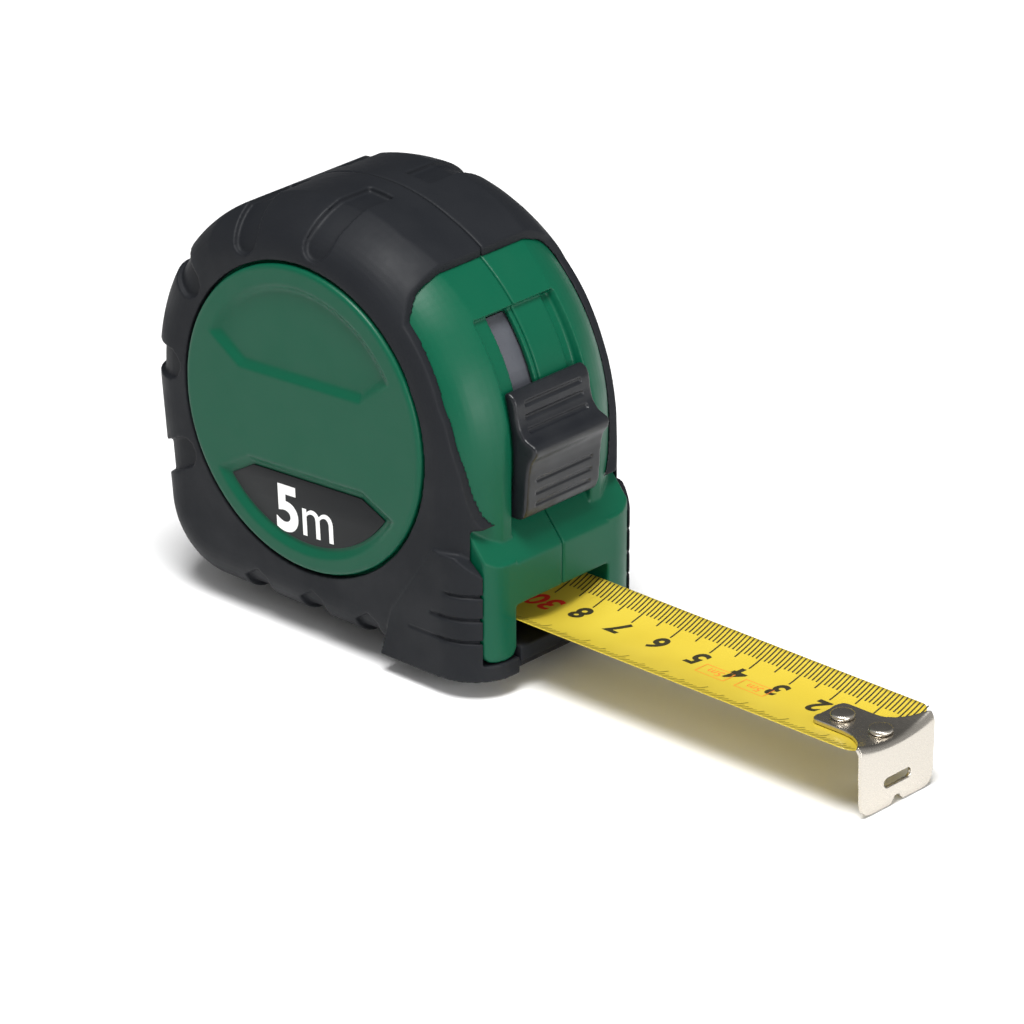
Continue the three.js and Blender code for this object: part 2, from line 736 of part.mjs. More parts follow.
function centrePost() {
  const half = cavityHalfWidth - 1.2;
  return rod(postRadius, -half, half, 0, 0, 24);
}

// ---- Lock ---------------------------------------------------------------------------------

function lockButton() {
  const back = railRadius + fitGap;
  const upper = onArc(frontArc, back, buttonTop);
  const face = [
    [upper[0] + 1.2, upper[1] + 0.6], // top edge
    ...thumbFace.map(([proud, z]) => [frontArc.x + frontArc.radius + proud, z]),
  ];
  const outline = polygon([...face, ...arcPoints(frontArc, back, buttonBottom, buttonTop, 8)].reverse());
  const stem = trackSector(slideRadius + 0.05, back + 0.5, buttonBottom + 0.05, buttonTop - 0.08, 8);
  const stemSides = [slotSides[0] + fitGap, slotSides[1] - fitGap];
  return solid(across(outline, -buttonHalfWidth, buttonHalfWidth)).add(solid(across(stem, ...stemSides)));
}

function lockSlide() {
  const strip = trackSector(slideRadius - slideThickness, slideRadius, slideBottom, channelTop, 14);
  return across(strip, ...slideSides);
}

function brakePad() {
  const top = onArc(frontArc, slideRadius - slideThickness - 0.05, slideBottom + 0.08);
  const low = onArc(frontArc, slideRadius, slideBottom);
  const foot = bladeHeight + bladeThickness / 2 + dishAt(brakeHalfWidth) + brakeClearance;
  const shape = polygon([
    [brakeBack, foot],
    [brakeFront, foot],
    [brakeFront, low[1] - 0.7],
    [brakeFront - 1.2, low[1] - 0.1],
    [top[0], top[1] - 0.1],
    [brakeBack, top[1] - 0.6],
  ]);
  const underSlide = slideRadius - slideThickness - 0.05;
  const swept = trackSector(underSlide, far / 3, slideBottom - 0.012, slideBottom + 0.4);
  return solid(across(shape, -brakeHalfWidth, brakeHalfWidth))
    .subtract(solid(across(swept, slideSides[0] - 1, slideSides[1] + 1)));
}

// ---- Fasteners and clip -------------------------------------------------------------------

function caseScrew(x, z) {
  const seat = screwHeadDepth;
  const head = seat + screwHeadHeight;
  const profile = [
    [0, -screwReach],
    [screwRadius, -screwReach + 1],
    [screwRadius, seat],
    [screwHeadRadius, seat],
    [screwHeadRadius, head - 0.5],
    [screwHeadRadius - 0.6, head],
    [0, head],
  ];
  const wide = solid(box(-1.5, 1.5, head - 1.1, far, -0.35, 0.35));
  const tall = solid(box(-0.35, 0.35, head - 1.1, far, -1.5, 1.5));
  const cross = wide.add(tall);
  return solid(turned(profile, 16)).subtract(cross).translate([x, 0, z]);
}

const clipFace = discHalfWidth + 0.1; // the clip's plate against the disc

function beltClip() {
  const middle = clipFace + clipThickness / 2;
  const bend = (clipGap + clipThickness) / 2;
  const leaf = middle + 2 * bend;
  const bendPoints = [];
  for (let i = 0; i <= 6; i += 1) {
    const angle = Math.PI - (Math.PI * i) / 6;
    bendPoints.push([middle + bend + bend * Math.cos(angle), clipTop + bend * Math.sin(angle)]);
  }
  const line = [
    [middle, clipTop - clipFootLength],
    ...bendPoints,
    [leaf, clipTop - clipDrop],
    [leaf + 1.4, clipTop - clipDrop - 3],
  ];
  const hole = rod(screwRadius + screwClearance, clipFace - 1, middle + bend, 0, clipScrewHeight, 16);
  return solid(along(ribbon(line, clipThickness), -clipHalfWidth, clipHalfWidth)).subtract(solid(hole));
}

function clipScrew() {
  const seat = clipFace + clipThickness + 0.05;
  const tip = seat - clipThickness - clipScrewLength;
  const profile = [
    [0, tip],
    [screwRadius, tip + 0.6],
    [screwRadius, seat],
    [screwHeadRadius, seat],
    [screwHeadRadius - 0.7, seat + 1.3],
    [0, seat + 1.3],
  ];
  const slot = solid(box(-1.6, 1.6, seat + 0.5, far, -0.35, 0.35));
  return solid(turned(profile, 16)).subtract(slot).translate([0, 0, clipScrewHeight]);
}

// ---- Assembly -----------------------------------------------------------------------------

const green = '#0d5a3e';
const black = '#22252a';
const steel = '#b9b6b0';
const yellow = '#e2cf3c';

const shell = shellBody();
for (const [side, name] of [[-1, 'left'], [1, 'right']]) {
  let half = shell.add(shellFittings(side)).subtract(screwHoles(side)).intersect(halfSpace(side));
  if (side > 0) {
    const clipHole = rod(screwRadius + screwClearance, cavityHalfWidth - 3, far, 0, clipScrewHeight, 16);
    half = half.subtract(solid(clipHole));
  }
  addPiece(`case_shell_${name}`, half, green, 0.45);
  addPiece(`grip_${name}`, grip(side), black, 0.75);
  const labelBack = discHalfWidth - panelDepth + 0.05;
  const plate = [side * labelBack, side * (labelBack + labelThickness)].sort((a, b) => a - b);
  addPiece(`label_${name}`, across(panelShape(labelPanel), ...plate), black, 0.35);
}
addPiece('mouth_bumper', mouthBumper(), black, 0.7);
addPiece('centre_post', centrePost(), steel, 0.35, 1);
screwPlaces.forEach(([x, z], i) => addPiece(`case_screw_${i + 1}`, caseScrew(x, z), steel, 0.35, 1));
addPiece('belt_clip', beltClip(), steel, 0.35, 1);
addPiece('clip_screw', clipScrew(), steel, 0.35, 1);
addPiece('blade_lead', bladeLead(), yellow, 0.35);

addPiece('blade_strip', bladeStrip(), yellow, 0.35);
rivetPlaces.forEach((x, i) => addPiece(`hook_rivet_${i + 1}`, rivet(x), steel, 0.3, 1));
addPiece('end_hook', endHook(), steel, 0.3, 1);

addPiece('spool_drum', spoolDrum(), '#d8d5cc', 0.6);
addPiece('spring_cover', springCover(), '#d8d5cc', 0.6);
addPiece('blade_coil', bladeCoil(), yellow, 0.35);
addPiece('power_spring', powerSpring(), '#6f7377', 0.3, 1);

addPiece('lock_button', lockButton(), black, 0.45);
addPiece('lock_slide', lockSlide(), '#4a4d52', 0.5);
addPiece('brake_pad', brakePad(), '#2b2d30', 0.8);

const group = new THREE.Group();
group.add(works);
export default group;
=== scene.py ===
import math

import bmesh
import bpy
from mathutils import Matrix, Vector


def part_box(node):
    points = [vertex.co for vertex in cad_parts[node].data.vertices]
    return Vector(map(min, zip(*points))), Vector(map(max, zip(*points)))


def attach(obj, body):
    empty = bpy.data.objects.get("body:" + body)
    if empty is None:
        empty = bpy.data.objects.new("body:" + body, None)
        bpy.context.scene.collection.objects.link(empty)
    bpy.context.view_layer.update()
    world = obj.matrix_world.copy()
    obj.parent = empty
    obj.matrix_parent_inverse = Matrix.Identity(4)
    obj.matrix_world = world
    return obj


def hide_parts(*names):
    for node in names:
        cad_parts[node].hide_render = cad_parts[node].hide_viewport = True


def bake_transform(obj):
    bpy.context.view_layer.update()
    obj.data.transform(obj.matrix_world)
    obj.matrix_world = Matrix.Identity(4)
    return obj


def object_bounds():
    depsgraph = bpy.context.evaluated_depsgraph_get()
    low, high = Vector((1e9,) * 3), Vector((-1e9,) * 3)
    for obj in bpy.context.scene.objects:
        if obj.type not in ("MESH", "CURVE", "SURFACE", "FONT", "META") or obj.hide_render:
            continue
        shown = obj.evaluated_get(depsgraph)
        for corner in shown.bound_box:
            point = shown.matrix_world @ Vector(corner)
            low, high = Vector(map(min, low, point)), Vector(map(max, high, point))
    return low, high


bl_info = {
    "name": "Pocket Tape Measure",
    "version": (1, 0, 0),
    "blender": (4, 5, 0),
    "location": "View3D > Sidebar > Tape Measure",
    "description": "Builds the looks of a pocket tape measure around its fixed frame",
    "category": "Add Mesh",
}

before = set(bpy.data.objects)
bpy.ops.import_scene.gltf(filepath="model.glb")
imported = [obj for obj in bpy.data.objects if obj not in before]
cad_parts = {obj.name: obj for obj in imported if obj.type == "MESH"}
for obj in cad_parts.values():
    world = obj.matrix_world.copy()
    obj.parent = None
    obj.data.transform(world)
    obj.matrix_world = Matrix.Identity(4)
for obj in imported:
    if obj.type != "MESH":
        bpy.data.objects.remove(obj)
FRAME_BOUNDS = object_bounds()

MM = 0.001
FAR = 200.0  # mm, reaches past every piece

# ---- Sizes of the fixed frame, in mm about the drum's axis ----------------------------------

COIL_LOW, COIL_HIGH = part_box("blade_coil")
AXIS_HEIGHT = (COIL_LOW.z + COIL_HIGH.z) / 2 / MM
BASE = -AXIS_HEIGHT
REAR_ARC = (-0.6, -0.3, 43.2)  # x, z and radius of the grips' top and back
FRONT_ARC = (1.8, -0.8, 42.8)  # front of the case, also the lock's track
HEEL_X = -25.2
HEEL_RADIUS = 16.0
SIDE_HALF = 24.6
SHOULDER = 8.0
BROW_ARC = (-1.0, -3.0, 46.7)  # wider arc that the top and front are rounded along
BROW_END = math.radians(108)
BROW_ACROSS = 18.0
BROW_DROP = 12.0
GRIP_THICKNESS = 1.5
FIT_GAP = 0.3
SHELL_INSET = GRIP_THICKNESS + FIT_GAP
SHELL_WALL = 2.2
CAVITY_INSET = SHELL_INSET + SHELL_WALL
SEAM_GAP = 0.05
DISC_RADIUS = 31.6
DISC_HALF = 25.1
PANEL_TILT = math.radians(3)
RAIL_RADIUS = FRONT_ARC[2] - 2.8
TRACK_RADIUS = FRONT_ARC[2] - CAVITY_INSET
CHANNEL_HALF = 11.2
CHANNEL_TOP = math.radians(41)
CHANNEL_BOTTOM = math.radians(-22)
SLOT_BOTTOM = math.radians(-17)
SLOT_SIDES = (-7.2, -1.2)
GROOVE_SIDES = (8.2, 10.9)
GROOVE_DEPTH = 0.9
WALL_BACK = FRONT_ARC[0] + TRACK_RADIUS - 6  # behind the lower front wall
MOUTH_FLOOR = BASE + CAVITY_INSET
CHIN_REACH = 45.8
CHIN_HALF = 15.5
CHIN_TOP = -13.2
CHIN_SHOULDER = -19.4
LIP_HEIGHT = -29.0
LEG_TOP = CHIN_TOP + 4
LEG_HALF = 20.6
LEG_BOTTOM = -39.6
LEG_END = 2.2
FOOT_REACH = 46.4
FOOT_TOP = -21.3
FOOT_HALF = 24.9
FOOT_CORNER = 10.0
GRIP_EDGE = ((36.5, 9.0), (39.4, -0.6), (40.3, -5.6), (41.3, -9.7), (43.0, -13.6), (44.0, -17.5))
SOLE_HALF = 12.5
SOLE_BACK = -18.0
LIP_BOTTOM = -41.0
LIP_TOP = -37.8
BLADE_HALF = 12.4
BLADE_DISH = 2.6
BLADE_THICKNESS = 0.15
BLADE_HEIGHT = -35.0
TAIL_REACH = -34.1
BLADE_END = 128.0
MOUTH_HALF = 13.1
HOOK_INSIDE = 129.3
HOOK_THICKNESS = 1.0
HOOK_HALF = 10.8
HOOK_BOTTOM = -46.9
TONGUE_END = 112.3
TONGUE_HALF = 4.7
RIVET_PLACES = (116.6, 125.9)
SCREW_PLACES = ((-25, 25.5), (13, 33), (-33.5, -21.5), (27, -17.5))
SCREW_HEAD_RADIUS = 2.6
WELL_START = 17.5


# ---- Settings ------------------------------------------------------------------------------


def length(name, description, millimetres):
    default = millimetres * MM
    return bpy.props.FloatProperty(name=name, description=description, default=default, unit="LENGTH")


def wattage(name, description, watts):
    return bpy.props.FloatProperty(name=name, description=description, default=watts, min=0)


def whole_number(name, description, default):
    return bpy.props.IntProperty(name=name, description=description, default=default, min=1)


def settings_group(kind, name, description):
    return bpy.props.PointerProperty(type=kind, name=name, description=description)


def linear(hex_colour):
    """An sRGB hex colour as linear red, green and blue."""
    values = [int(hex_colour[i : i + 2], 16) / 255 for i in (1, 3, 5)]
    return tuple(v / 12.92 if v <= 0.04045 else ((v + 0.055) / 1.055) ** 2.4 for v in values)


def colour(name, description, hex_colour):
    return bpy.props.FloatVectorProperty(
        name=name, description=description, default=linear(hex_colour), size=3, subtype="COLOR", min=0, max=1
    )


class TAPE_PG_case(bpy.types.PropertyGroup):
    panel_depth: length("Panel depth", "How far the round panel's recesses go in", 1.1)
    panel_slope: length("Panel slope", "Width of the sloped edge round each recess", 1.5)
    tread_width: length("Tread width", "Width of each notch over the grips' rim", 6.4)
    tread_depth: length("Tread depth", "Depth of each notch over the grips' rim", 1.1)
    shell_grain: length("Shell detail", "Size of the finest step of the shells' surface", 0.3)
    grip_grain: length("Grip detail", "Size of the finest step of the grips' surface", 0.3)


class TAPE_PG_blade(bpy.types.PropertyGroup):
    digit_height: length("Digit height", "Height of the centimetre numbers", 4.6)
    tick_width: length("Tick width", "Width of a millimetre tick", 0.36)
    first_number: whole_number("First number", "Nearest number to the hook", 2)
    last_number: whole_number("Last number", "Last black number before the mouth", 8)


class TAPE_PG_finish(bpy.types.PropertyGroup):
    shell: colour("Shell", "Moulded case", "#034a34")
    grip: colour("Grip", "Rubber over the case", "#15171b")
    lock: colour("Lock", "Thumb button", "#14161a")
    label: colour("Label", "Dark label under the size", "#111315")
    ink: colour("Ink", "Printed size on the label", "#f4f4f2")
    blade: colour("Blade", "Lacquer of the blade", "#c6b03a")
    metal: colour("Hook", "Plated end hook and rivets", "#c9c3b9")


class TAPE_PG_stage(bpy.types.PropertyGroup):
    floor: colour("Floor", "Plain floor and backdrop", "#e8e8e8")
    key_power: wattage("Key light", "Power of the large soft light", 27.0)
    fill_power: wattage("Fill light", "Power of the side light", 9.0)


class TAPE_PG_settings(bpy.types.PropertyGroup):
    case: settings_group(TAPE_PG_case, "Case", "Shells and grips")
    blade: settings_group(TAPE_PG_blade, "Blade", "Blade and its print")
    finish: settings_group(TAPE_PG_finish, "Finish", "Colours")
    stage: settings_group(TAPE_PG_stage, "Stage", "Floor and lights")


def settings():
    return bpy.context.scene.tape_measure


# ---- Shapes, in mm about the drum's axis ----------------------------------------------------


def on_arc(arc, radius, angle):
    return (arc[0] + radius * math.cos(angle), arc[1] + radius * math.sin(angle))


def arc_points(arc, radius, start, end, steps):
    return [on_arc(arc, radius, start + (end - start) * i / steps) for i in range(steps + 1)]


def meeting_angle(arc, other, inset):
    """Angle about `arc` where both circles, `inset` smaller, meet above the axis."""
    dx, dz = other[0] - arc[0], other[1] - arc[1]
    gap = math.hypot(dx, dz)
    r, s = arc[2] - inset, other[2] - inset
    turn = math.acos((gap * gap + r * r - s * s) / (2 * gap * r))
    angles = (math.atan2(dz, dx) + turn, math.atan2(dz, dx) - turn)
    return next(a for a in angles if math.sin(a) > 0)


def case_outline(inset):
    """Side view of the case, `inset` inside the grips' outer skin."""
    heel = (HEEL_X, BASE + HEEL_RADIUS)
    dx, dz = heel[0] - REAR_ARC[0], heel[1] - REAR_ARC[1]
    reach = math.hypot(dx, dz)
    tangent = math.atan2(dz, dx) + 2 * math.pi - math.acos((REAR_ARC[2] - HEEL_RADIUS) / reach)
    front_end = meeting_angle(FRONT_ARC, REAR_ARC, inset)
    rear_start = meeting_angle(REAR_ARC, FRONT_ARC, inset)
    return [
        (FRONT_ARC[0] + FRONT_ARC[2] - inset, BASE + inset),
        *arc_points(FRONT_ARC, FRONT_ARC[2] - inset, 0, front_end, 40),
        *arc_points(REAR_ARC, REAR_ARC[2] - inset, rear_start, tangent, 80)[1:],
        *arc_points(heel, HEEL_RADIUS - inset, tangent, 1.5 * math.pi, 24),
    ]


def sector(inner, outer, start, end, steps=40):
    """Part of a ring about the lock's centre."""
    return arc_points(FRONT_ARC, outer, start, end, steps) + arc_points(FRONT_ARC, inner, end, start, steps)


def linked(name, data):
    """A new object in the scene's collection."""
    obj = bpy.data.objects.new(name, data)
    bpy.context.scene.collection.objects.link(obj)
    return obj


def mesh_object(name, points, faces):
    mesh = bpy.data.meshes.new(name)
    mesh.from_pydata([(x * MM, y * MM, (z + AXIS_HEIGHT) * MM) for x, y, z in points], [], faces)
    edit = bmesh.new()
    edit.from_mesh(mesh)
    bmesh.ops.recalc_face_normals(edit, faces=edit.faces)
    edit.to_mesh(mesh)
    edit.free()
    return linked(name, mesh)


def loft(name, rings, closed=False):
    """A body through rings of equally many points, capped at both ends unless it is closed on itself."""
    count = len(rings[0])
    points = [p for ring in rings for p in ring]
    faces = []
    last = len(rings) if closed else len(rings) - 1
    for k in range(last):
        a, b = k * count, ((k + 1) % len(rings)) * count
        for i in range(count):
            j = (i + 1) % count
            faces.append((a + i, a + j, b + j, b + i))
    if not closed:
        faces.append(tuple(range(count)))
        faces.append(tuple(range(len(points) - count, len(points))))
    return mesh_object(name, points, faces)


def slab(name, outline, y0, y1, rounding=0.0, drop=None, steps=10):
    """A side-view outline drawn across the case.

    With a rounding, outline(inset) gives each section, and the sides end `drop` further in.
    """
    if not rounding:
        return loft(name, [[(x, y, z) for x, z in outline] for y in (y0, y1)])
    drop = drop or rounding
    rings = []
    for k in range(steps + 1):
        angle = k / steps * math.pi / 2
        section = outline(drop * (1 - math.sin(angle)))
        rings.append([(x, y0 + rounding * (1 - math.cos(angle)), z) for x, z in section])
    far_side = [[(x, y0 + y1 - y, z) for x, y, z in ring] for ring in reversed(rings)]
    return loft(name, rings + far_side)


def bar(name, outline, x0, x1):
    """A front-view outline (y, z) drawn along the blade's way."""
    return loft(name, [[(x, y, z) for y, z in outline] for x in (x0, x1)])


def block(name, x0, x1, y0, y1, z0, z1):
    return slab(name, [(x0, z0), (x1, z0), (x1, z1), (x0, z1)], y0, y1)


def turned(name, profile, x=0.0, z=0.0, sides=128):
    """A body turned about an axis across the case, from (radius, y) points that close on themselves."""
    rings = []
    for i in range(sides):
        angle = 2 * math.pi * i / sides
        rings.append([(x + r * math.cos(angle), y, z + r * math.sin(angle)) for r, y in profile])
    return loft(name, rings, closed=True)


def rod(name, radius, y0, y1, x=0.0, z=0.0, sides=64):
    rings = []
    for y in (y0, y1):
        rings.append([(*on_arc((x, 0), radius, 2 * math.pi * i / sides), y) for i in range(sides)])
    return loft(name, [[(px, y, z + pz) for px, pz, y in ring] for ring in rings])


def span(side, near, distant):
    return sorted((side * near, side * distant))


# ---- Working on meshes ----------------------------------------------------------------------


def apply_modifiers(obj):
    bpy.context.view_layer.update()
    evaluated = obj.evaluated_get(bpy.context.evaluated_depsgraph_get())
    mesh = bpy.data.meshes.new_from_object(evaluated)
    obj.modifiers.clear()
    obj.data = mesh
    return obj


def boolean(obj, tool, operation):
    modifier = obj.modifiers.new(operation, "BOOLEAN")
    modifier.operation = operation
    modifier.solver = "MANIFOLD"
    modifier.object = tool
    apply_modifiers(obj)
    bpy.data.objects.remove(tool)
    if not obj.data.polygons:
        raise RuntimeError(f"nothing is left of {obj.name}")
    return obj


def cut(obj, *tools):
    for tool in tools:
        boolean(obj, tool, "DIFFERENCE")
    return obj


def join(obj, *tools):
    for tool in tools:
        boolean(obj, tool, "UNION")
    return obj


def keep(obj, tool):
    return boolean(obj, tool, "INTERSECT")


def copy_of(obj, name):
    return linked(name, obj.data.copy())


def soften(obj, grain, rounds=4):
    """Rebuilds the surface in even steps and smooths it, so that every edge is moulded round."""
    remesh = obj.modifiers.new("Remesh", "REMESH")
    remesh.mode = "VOXEL"
    remesh.voxel_size = grain
    remesh.use_smooth_shade = True
    smooth = obj.modifiers.new("Smooth", "SMOOTH")
    smooth.factor = 0.5
    smooth.iterations = rounds
    return apply_modifiers(obj)


def bevelled(obj, width, segments=3, angle=40):
    modifier = obj.modifiers.new("Bevel", "BEVEL")
    modifier.width = width * MM
    modifier.segments = segments
    modifier.limit_method = "ANGLE"
    modifier.angle_limit = math.radians(angle)
    return apply_modifiers(obj)


def finish_piece(obj, body, material, slot, *nodes):
    obj.data.materials.clear()
    obj.data.materials.append(material)
    obj.data.shade_smooth()
    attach(obj, body)
    if nodes:
        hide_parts(*nodes)
    return obj


# ---- Materials ------------------------------------------------------------------------------


def add_node(tree, kind, links=(), **values):
    """One node with its settings; each link gives a socket another node's output or a plain value."""
    node = tree.nodes.new(kind)
    for key, value in values.items():
        setattr(node, key, value)
    for socket, source in links:
        target = node.inputs[socket]
        if hasattr(source, "links"):
            tree.links.new(source, target)
        else:
            target.default_value = source
    return node


def base_material(name, base, roughness, metallic=0.0):
    material = bpy.data.materials.new(name)
    material.use_nodes = True
    tree = material.node_tree
    shader = tree.nodes["Principled BSDF"]
    shader.inputs["Base Color"].default_value = (*base, 1)
    shader.inputs["Roughness"].default_value = roughness
    shader.inputs["Metallic"].default_value = metallic
    place = add_node(tree, "ShaderNodeTexCoord").outputs["Object"]
    return material, tree, shader, place


def noise_at(tree, place, per_mm, detail):
    links = [("Vector", place), ("Scale", per_mm / MM), ("Detail", detail)]
    return add_node(tree, "ShaderNodeTexNoise", links).outputs["Fac"]


def remapped(tree, value, from_low, from_high, to_low, to_high):
    """One range of a value stretched over another."""
    links = [("Value", value), ("From Min", from_low), ("From Max", from_high)]
    links += [("To Min", to_low), ("To Max", to_high)]
    return add_node(tree, "ShaderNodeMapRange", links).outputs["Result"]


def relief(tree, shader, height, height_mm, strength):
    """Bumps in the surface, by their real depth."""
    links = [("Height", height), ("Distance", height_mm * MM), ("Strength", strength)]
    bump = add_node(tree, "ShaderNodeBump", links)
    tree.links.new(bump.outputs["Normal"], shader.inputs["Normal"])


def grain_of(tree, shader, place, per_mm, height_mm, strength):
    """A fine noise in the surface, from its real pitch and depth."""
    relief(tree, shader, noise_at(tree, place, per_mm, 3.0), height_mm, strength)


def varied_roughness(tree, shader, place, low, high, per_mm):
    """Handling marks: broad patches of slightly different gloss."""
    spread = remapped(tree, noise_at(tree, place, per_mm, 4.0), 0.35, 0.65, low, high)
    tree.links.new(spread, shader.inputs["Roughness"])


def moulded_abs():
    """Injection-moulded ABS with a spark-eroded skin: satin, with broad soft highlights."""
    material, tree, shader, place = base_material("moulded_abs", settings().finish.shell, 0.4)
    shader.inputs["IOR"].default_value = 1.53
    shader.inputs["Specular IOR Level"].default_value = 0.18
    grain_of(tree, shader, place, per_mm=5.0, height_mm=0.02, strength=0.35)
    varied_roughness(tree, shader, place, 0.33, 0.45, per_mm=0.12)
    return material


def overmoulded_tpe():
    """Soft overmoulded rubber: dark and dull, fine-grained, with pale edges where it catches the light."""
    material, tree, shader, place = base_material("overmoulded_tpe", settings().finish.grip, 0.6)
    shader.inputs["IOR"].default_value = 1.5
    shader.inputs["Specular IOR Level"].default_value = 0.18
    grain_of(tree, shader, place, per_mm=4.0, height_mm=0.04, strength=0.5)
    varied_roughness(tree, shader, place, 0.5, 0.66, per_mm=0.1)
    return material


def moulded_nylon():
    """Moulded nylon of the thumb lock: smoother than the rubber, so its ledge shows a clear highlight."""
    material, tree, shader, place = base_material("moulded_nylon", settings().finish.lock, 0.4)
    shader.inputs["IOR"].default_value = 1.53
    shader.inputs["Specular IOR Level"].default_value = 0.35
    grain_of(tree, shader, place, per_mm=6.0, height_mm=0.015, strength=0.3)
    varied_roughness(tree, shader, place, 0.32, 0.46, per_mm=0.15)
    return material


def lacquered_steel():
    """Spring steel strip under yellow lacquer: smooth gloss, a little darker in broad patches."""
    material, tree, shader, place = base_material("lacquered_steel", settings().finish.blade, 0.35)
    shader.inputs["Coat Weight"].default_value = 0.3
    shader.inputs["Coat Roughness"].default_value = 0.15
    ramp = add_node(tree, "ShaderNodeValToRGB", [("Fac", noise_at(tree, place, 0.06, 2.0))])
    base = settings().finish.blade
    ramp.color_ramp.elements[0].position = 0.3
    ramp.color_ramp.elements[0].color = (base[0] * 0.92, base[1] * 0.9, base[2] * 0.75, 1)
    ramp.color_ramp.elements[1].position = 0.7
    ramp.color_ramp.elements[1].color = (*base, 1)
    tree.links.new(ramp.outputs["Color"], shader.inputs["Base Color"])
    grain_of(tree, shader, place, per_mm=1.2, height_mm=0.01, strength=0.15)
    return material


def printed_ink(name, base):
    """Screen-printed ink: a flat, slightly rough film with a faint mottle."""
    material, tree, shader, place = base_material(name, base, 0.5)
    varied_roughness(tree, shader, place, 0.42, 0.55, per_mm=0.8)
    return material


def label_film():
    """Printed plastic film let into the panel: flat and dark, with a soft even sheen."""
    material, tree, shader, place = base_material("label_film", settings().finish.label, 0.42)
    shader.inputs["Specular IOR Level"].default_value = 0.2
    grain_of(tree, shader, place, per_mm=8.0, height_mm=0.006, strength=0.25)
    return material


def plated_steel(name, base, roughness):
    """Pressed and nickel-plated sheet: warm grey metal, brushed lightly along its length."""
    material, tree, shader, place = base_material(name, base, roughness, metallic=1.0)
    stretch = add_node(tree, "ShaderNodeMapping", [("Vector", place), ("Scale", (0.15, 1.0, 1.0))])
    noise = noise_at(tree, stretch.outputs["Vector"], 6.0, 3.0)
    spread = remapped(tree, noise, 0.0, 1.0, roughness * 0.8, roughness * 1.25)
    tree.links.new(spread, shader.inputs["Roughness"])
    relief(tree, shader, noise, 0.004, 0.4)
    return material


def natural_acetal():
    """Unpigmented acetal of the drum: milky white, smooth from the mould."""
    material, tree, shader, place = base_material("natural_acetal", linear("#d8d5cc"), 0.45)
    grain_of(tree, shader, place, per_mm=3.0, height_mm=0.01, strength=0.25)
    return material


def brake_strip():
    """Grey nylon strip that the thumb pushes down on the blade: dull, a little scuffed."""
    material, tree, shader, place = base_material("grey_nylon", linear("#45474d"), 0.5)
    grain_of(tree, shader, place, per_mm=2.5, height_mm=0.03, strength=0.4)
    varied_roughness(tree, shader, place, 0.4, 0.6, per_mm=0.3)
    return material


MATERIALS = {}


def material_of(name):
    """Each material is made once, when it is first asked for."""
    finish = settings().finish
    makers = {
        "shell": moulded_abs,
        "grip": overmoulded_tpe,
        "lock": moulded_nylon,
        "blade": lacquered_steel,
        "label": label_film,
        "drum": natural_acetal,
        "slide": brake_strip,
        "white_ink": lambda: printed_ink("white_ink", finish.ink),
        "black_ink": lambda: printed_ink("black_ink", linear("#2b2713")),
        "olive_ink": lambda: printed_ink("olive_ink", linear("#5f5618")),
        "red_ink": lambda: printed_ink("red_ink", linear("#d3281c")),
        "orange_ink": lambda: printed_ink("orange_ink", linear("#e0762c")),
        "metal": lambda: plated_steel("nickel_plated_steel", finish.metal, 0.26),
        "steel": lambda: plated_steel("zinc_plated_steel", linear("#b5b3ae"), 0.32),
        "spring": lambda: plated_steel("spring_steel", linear("#6f7377"), 0.3),
    }
    if name not in MATERIALS:
        MATERIALS[name] = makers[name]()
    return MATERIALS[name]


# ---- Case ----------------------------------------------------------------------------------


def panel_outline(up, corner, end, radius, inset):
    """A recess of the round panel: a straight edge, two slanted ones and an arc, `inset` further in."""
    corner_x, corner_z = corner[0] - 0.4 * inset, corner[1] + up * inset
    start = math.atan2(end[1], end[0]) + up * inset / radius * 1.2
    stop = math.pi - start if up > 0 else -math.pi - start
    points = [(-corner_x, corner_z), (corner_x, corner_z)]
    points += arc_points((0, 0), radius - inset, start, stop, 48)
    cos, sin = math.cos(PANEL_TILT), math.sin(PANEL_TILT)
    return [(x * cos - z * sin, x * sin + z * cos) for x, z in points]


PANELS = (
    (1, (16.2, 7.5), (24.35, 13.3), 27.6),
    (-1, (15.5, -10.8), (23.5, -15.1), 28.3),
)


def panel_cutter(side, panel):
    case = settings().case
    depth, slope = case.panel_depth / MM, case.panel_slope / MM
    rings = []
    for y, inset in ((DISC_HALF + 1, -slope / depth), (DISC_HALF - depth, slope)):
        rings.append([(x, side * y, z) for x, z in panel_outline(*panel, inset)])
    return loft("panel", rings)


def brow_outline(inset):
    """A wider side view that touches the case's outline along its top and front only."""
    reach = BROW_ARC[2] - inset
    end_x, end_z = on_arc(BROW_ARC, reach, BROW_END)
    return [
        (BROW_ARC[0] + reach, -FAR),
        *arc_points(BROW_ARC, reach, 0, BROW_END, 48),
        (end_x - FAR * math.sin(BROW_END), end_z + FAR * math.cos(BROW_END)),
        (-2 * FAR, -FAR),
    ]


def case_body(inset, name="body"):
    half = SIDE_HALF - inset
    body = slab(name, lambda extra: case_outline(inset + extra), -half, half, SHOULDER - inset)
    across, drop = BROW_ACROSS - inset, BROW_DROP - inset
    return keep(body, slab("brow", lambda extra: brow_outline(inset + extra), -half, half, across, drop, 16))


def front_prism(reach, inset=0.0):
    """Upright prism whose front corners are rounded in plan."""
    half, corner = FOOT_HALF - inset, FOOT_CORNER - inset
    middle = reach - inset - corner
    outline = [(-FAR, -half)]
    outline += arc_points((middle, corner - half), corner, -math.pi / 2, 0, 24)
    outline += arc_points((middle, half - corner), corner, 0, math.pi / 2, 24)
    outline += [(-FAR, half)]
    return loft("front_prism", [[(x, y, z) for x, y in outline] for z in (-FAR, FAR)])


